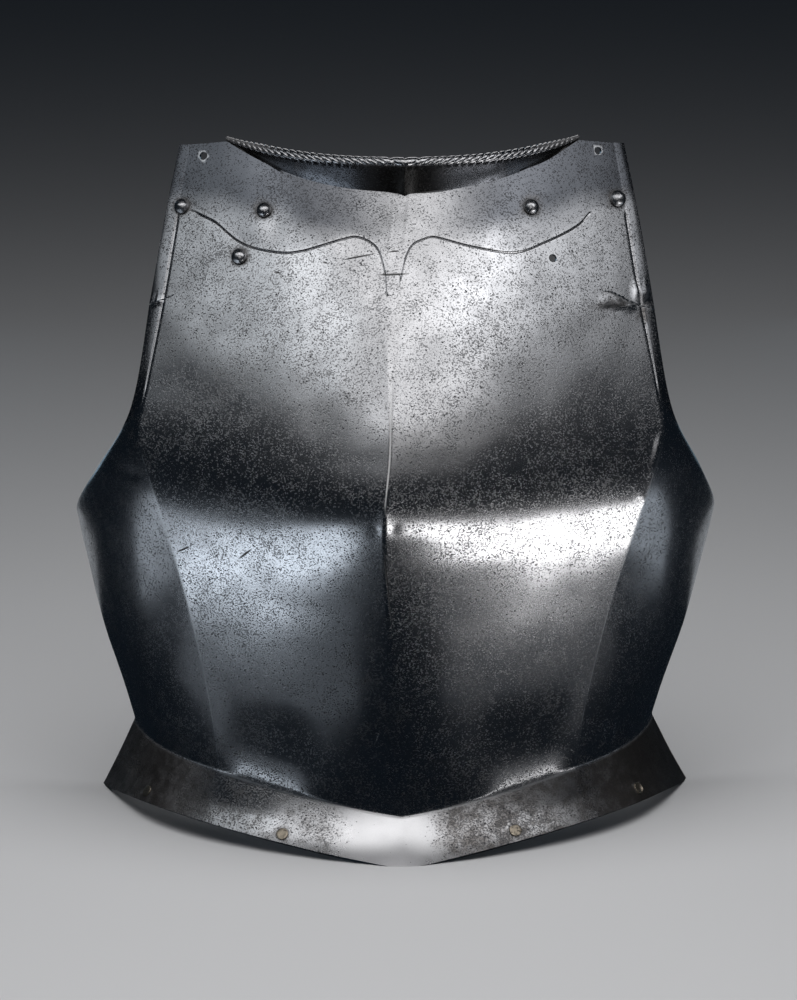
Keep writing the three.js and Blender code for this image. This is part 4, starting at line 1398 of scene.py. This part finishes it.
dress(sheet, plate_steel, "plate_steel", "breastplate")
dress(rope, plate_steel, "plate_steel", "breastplate")
for name, rivet in rivets.items():
    if name.startswith("waist"):
        dress(rivet, browned_steel, "browned_steel", "rivet_" + name)
    else:
        dress(rivet, rivet_steel, "rivet_steel", "rivet_" + name)

# %% [markdown]
# ## Floor, light and camera
#
# The floor is plain and pale. Polished steel shows little but what it mirrors, so the lights are
# plain panels that no camera sees, and each has its own place in the mirror. The wide ones high
# in front are the chest's, and the wings light its flanks. Lower ones are for the band under the
# peak, and small ones that lie on the floor are for the belly, the side panels and the inside.
# Those behind draw the edges. It could be a picture of a studio all round, but panels are easy
# to move one by one. The steel doesn't mirror the floor, as a breastplate is usually lit over a
# dark table, so the floor has one more panel to itself.

# %% Floor
FLOOR_SIZE, FLOOR_COLOUR, FLOOR_ROUGHNESS = 30, (0.62, 0.62, 0.63, 1), 0.9
bpy.ops.object.select_all(action="DESELECT")
bpy.ops.mesh.primitive_plane_add(size=FLOOR_SIZE)
floor = added("floor")
floor.visible_glossy = False
pale = bpy.data.materials.new("floor_paint")
pale.use_nodes = True
pale_shader = pale.node_tree.nodes["Principled BSDF"]
pale_shader.inputs["Base Color"].default_value = FLOOR_COLOUR
pale_shader.inputs["Roughness"].default_value = FLOOR_ROUGHNESS
floor.data.materials.append(pale)
print("floor size in metres:", FLOOR_SIZE)

# %% Camera
AZIMUTH, ELEVATION, DISTANCE = -1.5, 15, 2000  # degrees round and up, and millimetres
LENS, SENSOR_WIDTH, FAR = 128.0, 36, 100
AIM = np.array([0, 80, 195.0])


def direction(azimuth, elevation):
    """A direction in the smith's axes, given in degrees round from the front and up."""
    azimuth, elevation = math.radians(azimuth), math.radians(elevation)
    flat = math.cos(elevation)
    return np.array([math.sin(azimuth) * flat, math.cos(azimuth) * flat, math.sin(elevation)])


bpy.ops.object.camera_add(location=to_frame(AIM + DISTANCE * direction(AZIMUTH, ELEVATION)))
camera = bpy.context.active_object
look = Vector(to_frame(AIM)) - camera.location
camera.rotation_euler = look.to_track_quat("-Z", "Y").to_euler()
camera.data.lens = LENS
camera.data.sensor_width = SENSOR_WIDTH
camera.data.clip_end = FAR
bpy.context.scene.camera = camera
print("camera at:", [round(v, 3) for v in camera.location])

# %% Lights
CHEST = (0.0, -0.1, 0.28)
PANELS = (
    # name, azimuth and elevation from the chest, distance, width, depth, brightness, colour
    ("key_core", 10, 55, 1.25, 1.35, 0.70, 0.58, (1.0, 1.0, 1.0)),
    ("key_wide", 3, 52, 1.27, 2.1, 1.0, 0.76, (0.98, 0.99, 1.0)),
    ("left_wing", -62, 40, 1.3, 0.7, 0.52, 0.8, (0.9, 0.96, 1.0)),
    ("right_wing", 60, 40, 1.3, 0.62, 0.54, 0.92, (0.94, 0.97, 1.0)),
    ("low_core_right", 36, 23, 1.3, 0.3, 0.42, 0.7, (1.0, 1.0, 1.0)),
    ("low_core_left", -36, 25, 1.3, 0.3, 0.3, 0.4, (0.95, 0.98, 1.0)),
    ("crest", 0, 14, 1.3, 0.4, 0.42, 1.0, (1.0, 1.0, 1.0)),
    ("left_rim", -155, 5, 1.5, 0.5, 0.9, 0.5, (0.55, 0.8, 1.0)),
    ("right_rim", 155, 5, 1.5, 0.5, 0.9, 0.3, (0.55, 0.8, 1.0)),
    ("behind", 180, 32, 1.9, 1.2, 0.8, 1.3, (1.0, 1.0, 1.0)),
)
LOW_PANELS = (
    # name, place on the floor, turn in degrees, length, width, brightness, colour
    ("low_right", (0.325, -0.27), 40, 0.30, 0.15, 3.6, (1.0, 1.0, 1.0)),
    ("low_left", (-0.298, -0.21), -43, 0.24, 0.16, 1.6, (0.8, 0.9, 1.0)),
    ("near_right", (0.21, -0.13), 35, 0.25, 0.14, 0.06, (0.9, 0.95, 1.0)),
    ("near_left", (-0.2, -0.12), -35, 0.25, 0.14, 0.1, (0.8, 0.9, 1.0)),
    ("side_right", (0.48, -0.03), 90, 0.3, 0.2, 0.45, (0.8, 0.9, 1.0)),
    ("low_back", (0, 0.6), 0, 0.8, 0.5, 0.3, (0.9, 0.95, 1.0)),
    ("side_left", (-0.47, -0.05), 90, 0.26, 0.2, 0.5, (0.8, 0.9, 1.0)),
)
LOW_PANEL_HEIGHT = 0.012
FLOOR_FILL, FLOOR_FILL_SIZE, FLOOR_FILL_PLACE = 4.2, 1.3, (0, -0.55, 1.45)


def panel(name, place, width, depth, brightness, colour):
    """A plain light panel that no camera sees."""
    bpy.ops.object.light_add(type="AREA", location=place)
    light = bpy.context.active_object
    light.name = name
    light.data.shape = "RECTANGLE"
    light.data.size, light.data.size_y = width, depth
    light.data.energy = math.pi * width * depth * brightness
    light.data.color = colour
    light.visible_camera = False
    return light


for name, azimuth, elevation, distance, *rest in PANELS:
    towards = Vector(turn_to_frame(direction(azimuth, elevation)))
    light = panel(name, Vector(CHEST) + towards * distance, *rest)
    light.rotation_euler = (-towards).to_track_quat("-Z", "Y").to_euler()
    light.visible_diffuse = False
for name, place, turn_by, *rest in LOW_PANELS:
    light = panel(name, (*place, LOW_PANEL_HEIGHT), *rest)
    light.rotation_euler = math.pi, 0, math.radians(turn_by)
    light.visible_diffuse = False
fill = panel("floor_fill", FLOOR_FILL_PLACE, FLOOR_FILL_SIZE, FLOOR_FILL_SIZE, FLOOR_FILL, (1, 1, 1))
fill.visible_glossy = False
print("lights:", len(PANELS) + len(LOW_PANELS) + 1)

# %% World
ROOM, BACKDROP = (0.005, 0.008, 0.012, 1), (0.55, 0.56, 0.58, 1)  # what steel and camera see
world = bpy.data.worlds.new("room")
world.use_nodes = True
bpy.context.scene.world = world
room = world.node_tree
light_path = room.nodes.new("ShaderNodeLightPath")
shade = room.nodes.new("ShaderNodeMix")
shade.data_type = "RGBA"
shade.inputs["A"].default_value = ROOM
shade.inputs["B"].default_value = BACKDROP
room.links.new(light_path.outputs["Is Camera Ray"], shade.inputs["Factor"])
room.links.new(shade.outputs["Result"], room.nodes["Background"].inputs["Color"])
bpy.context.scene.view_settings.view_transform = "Standard"
print("room and backdrop:", ROOM[:3], BACKDROP[:3])
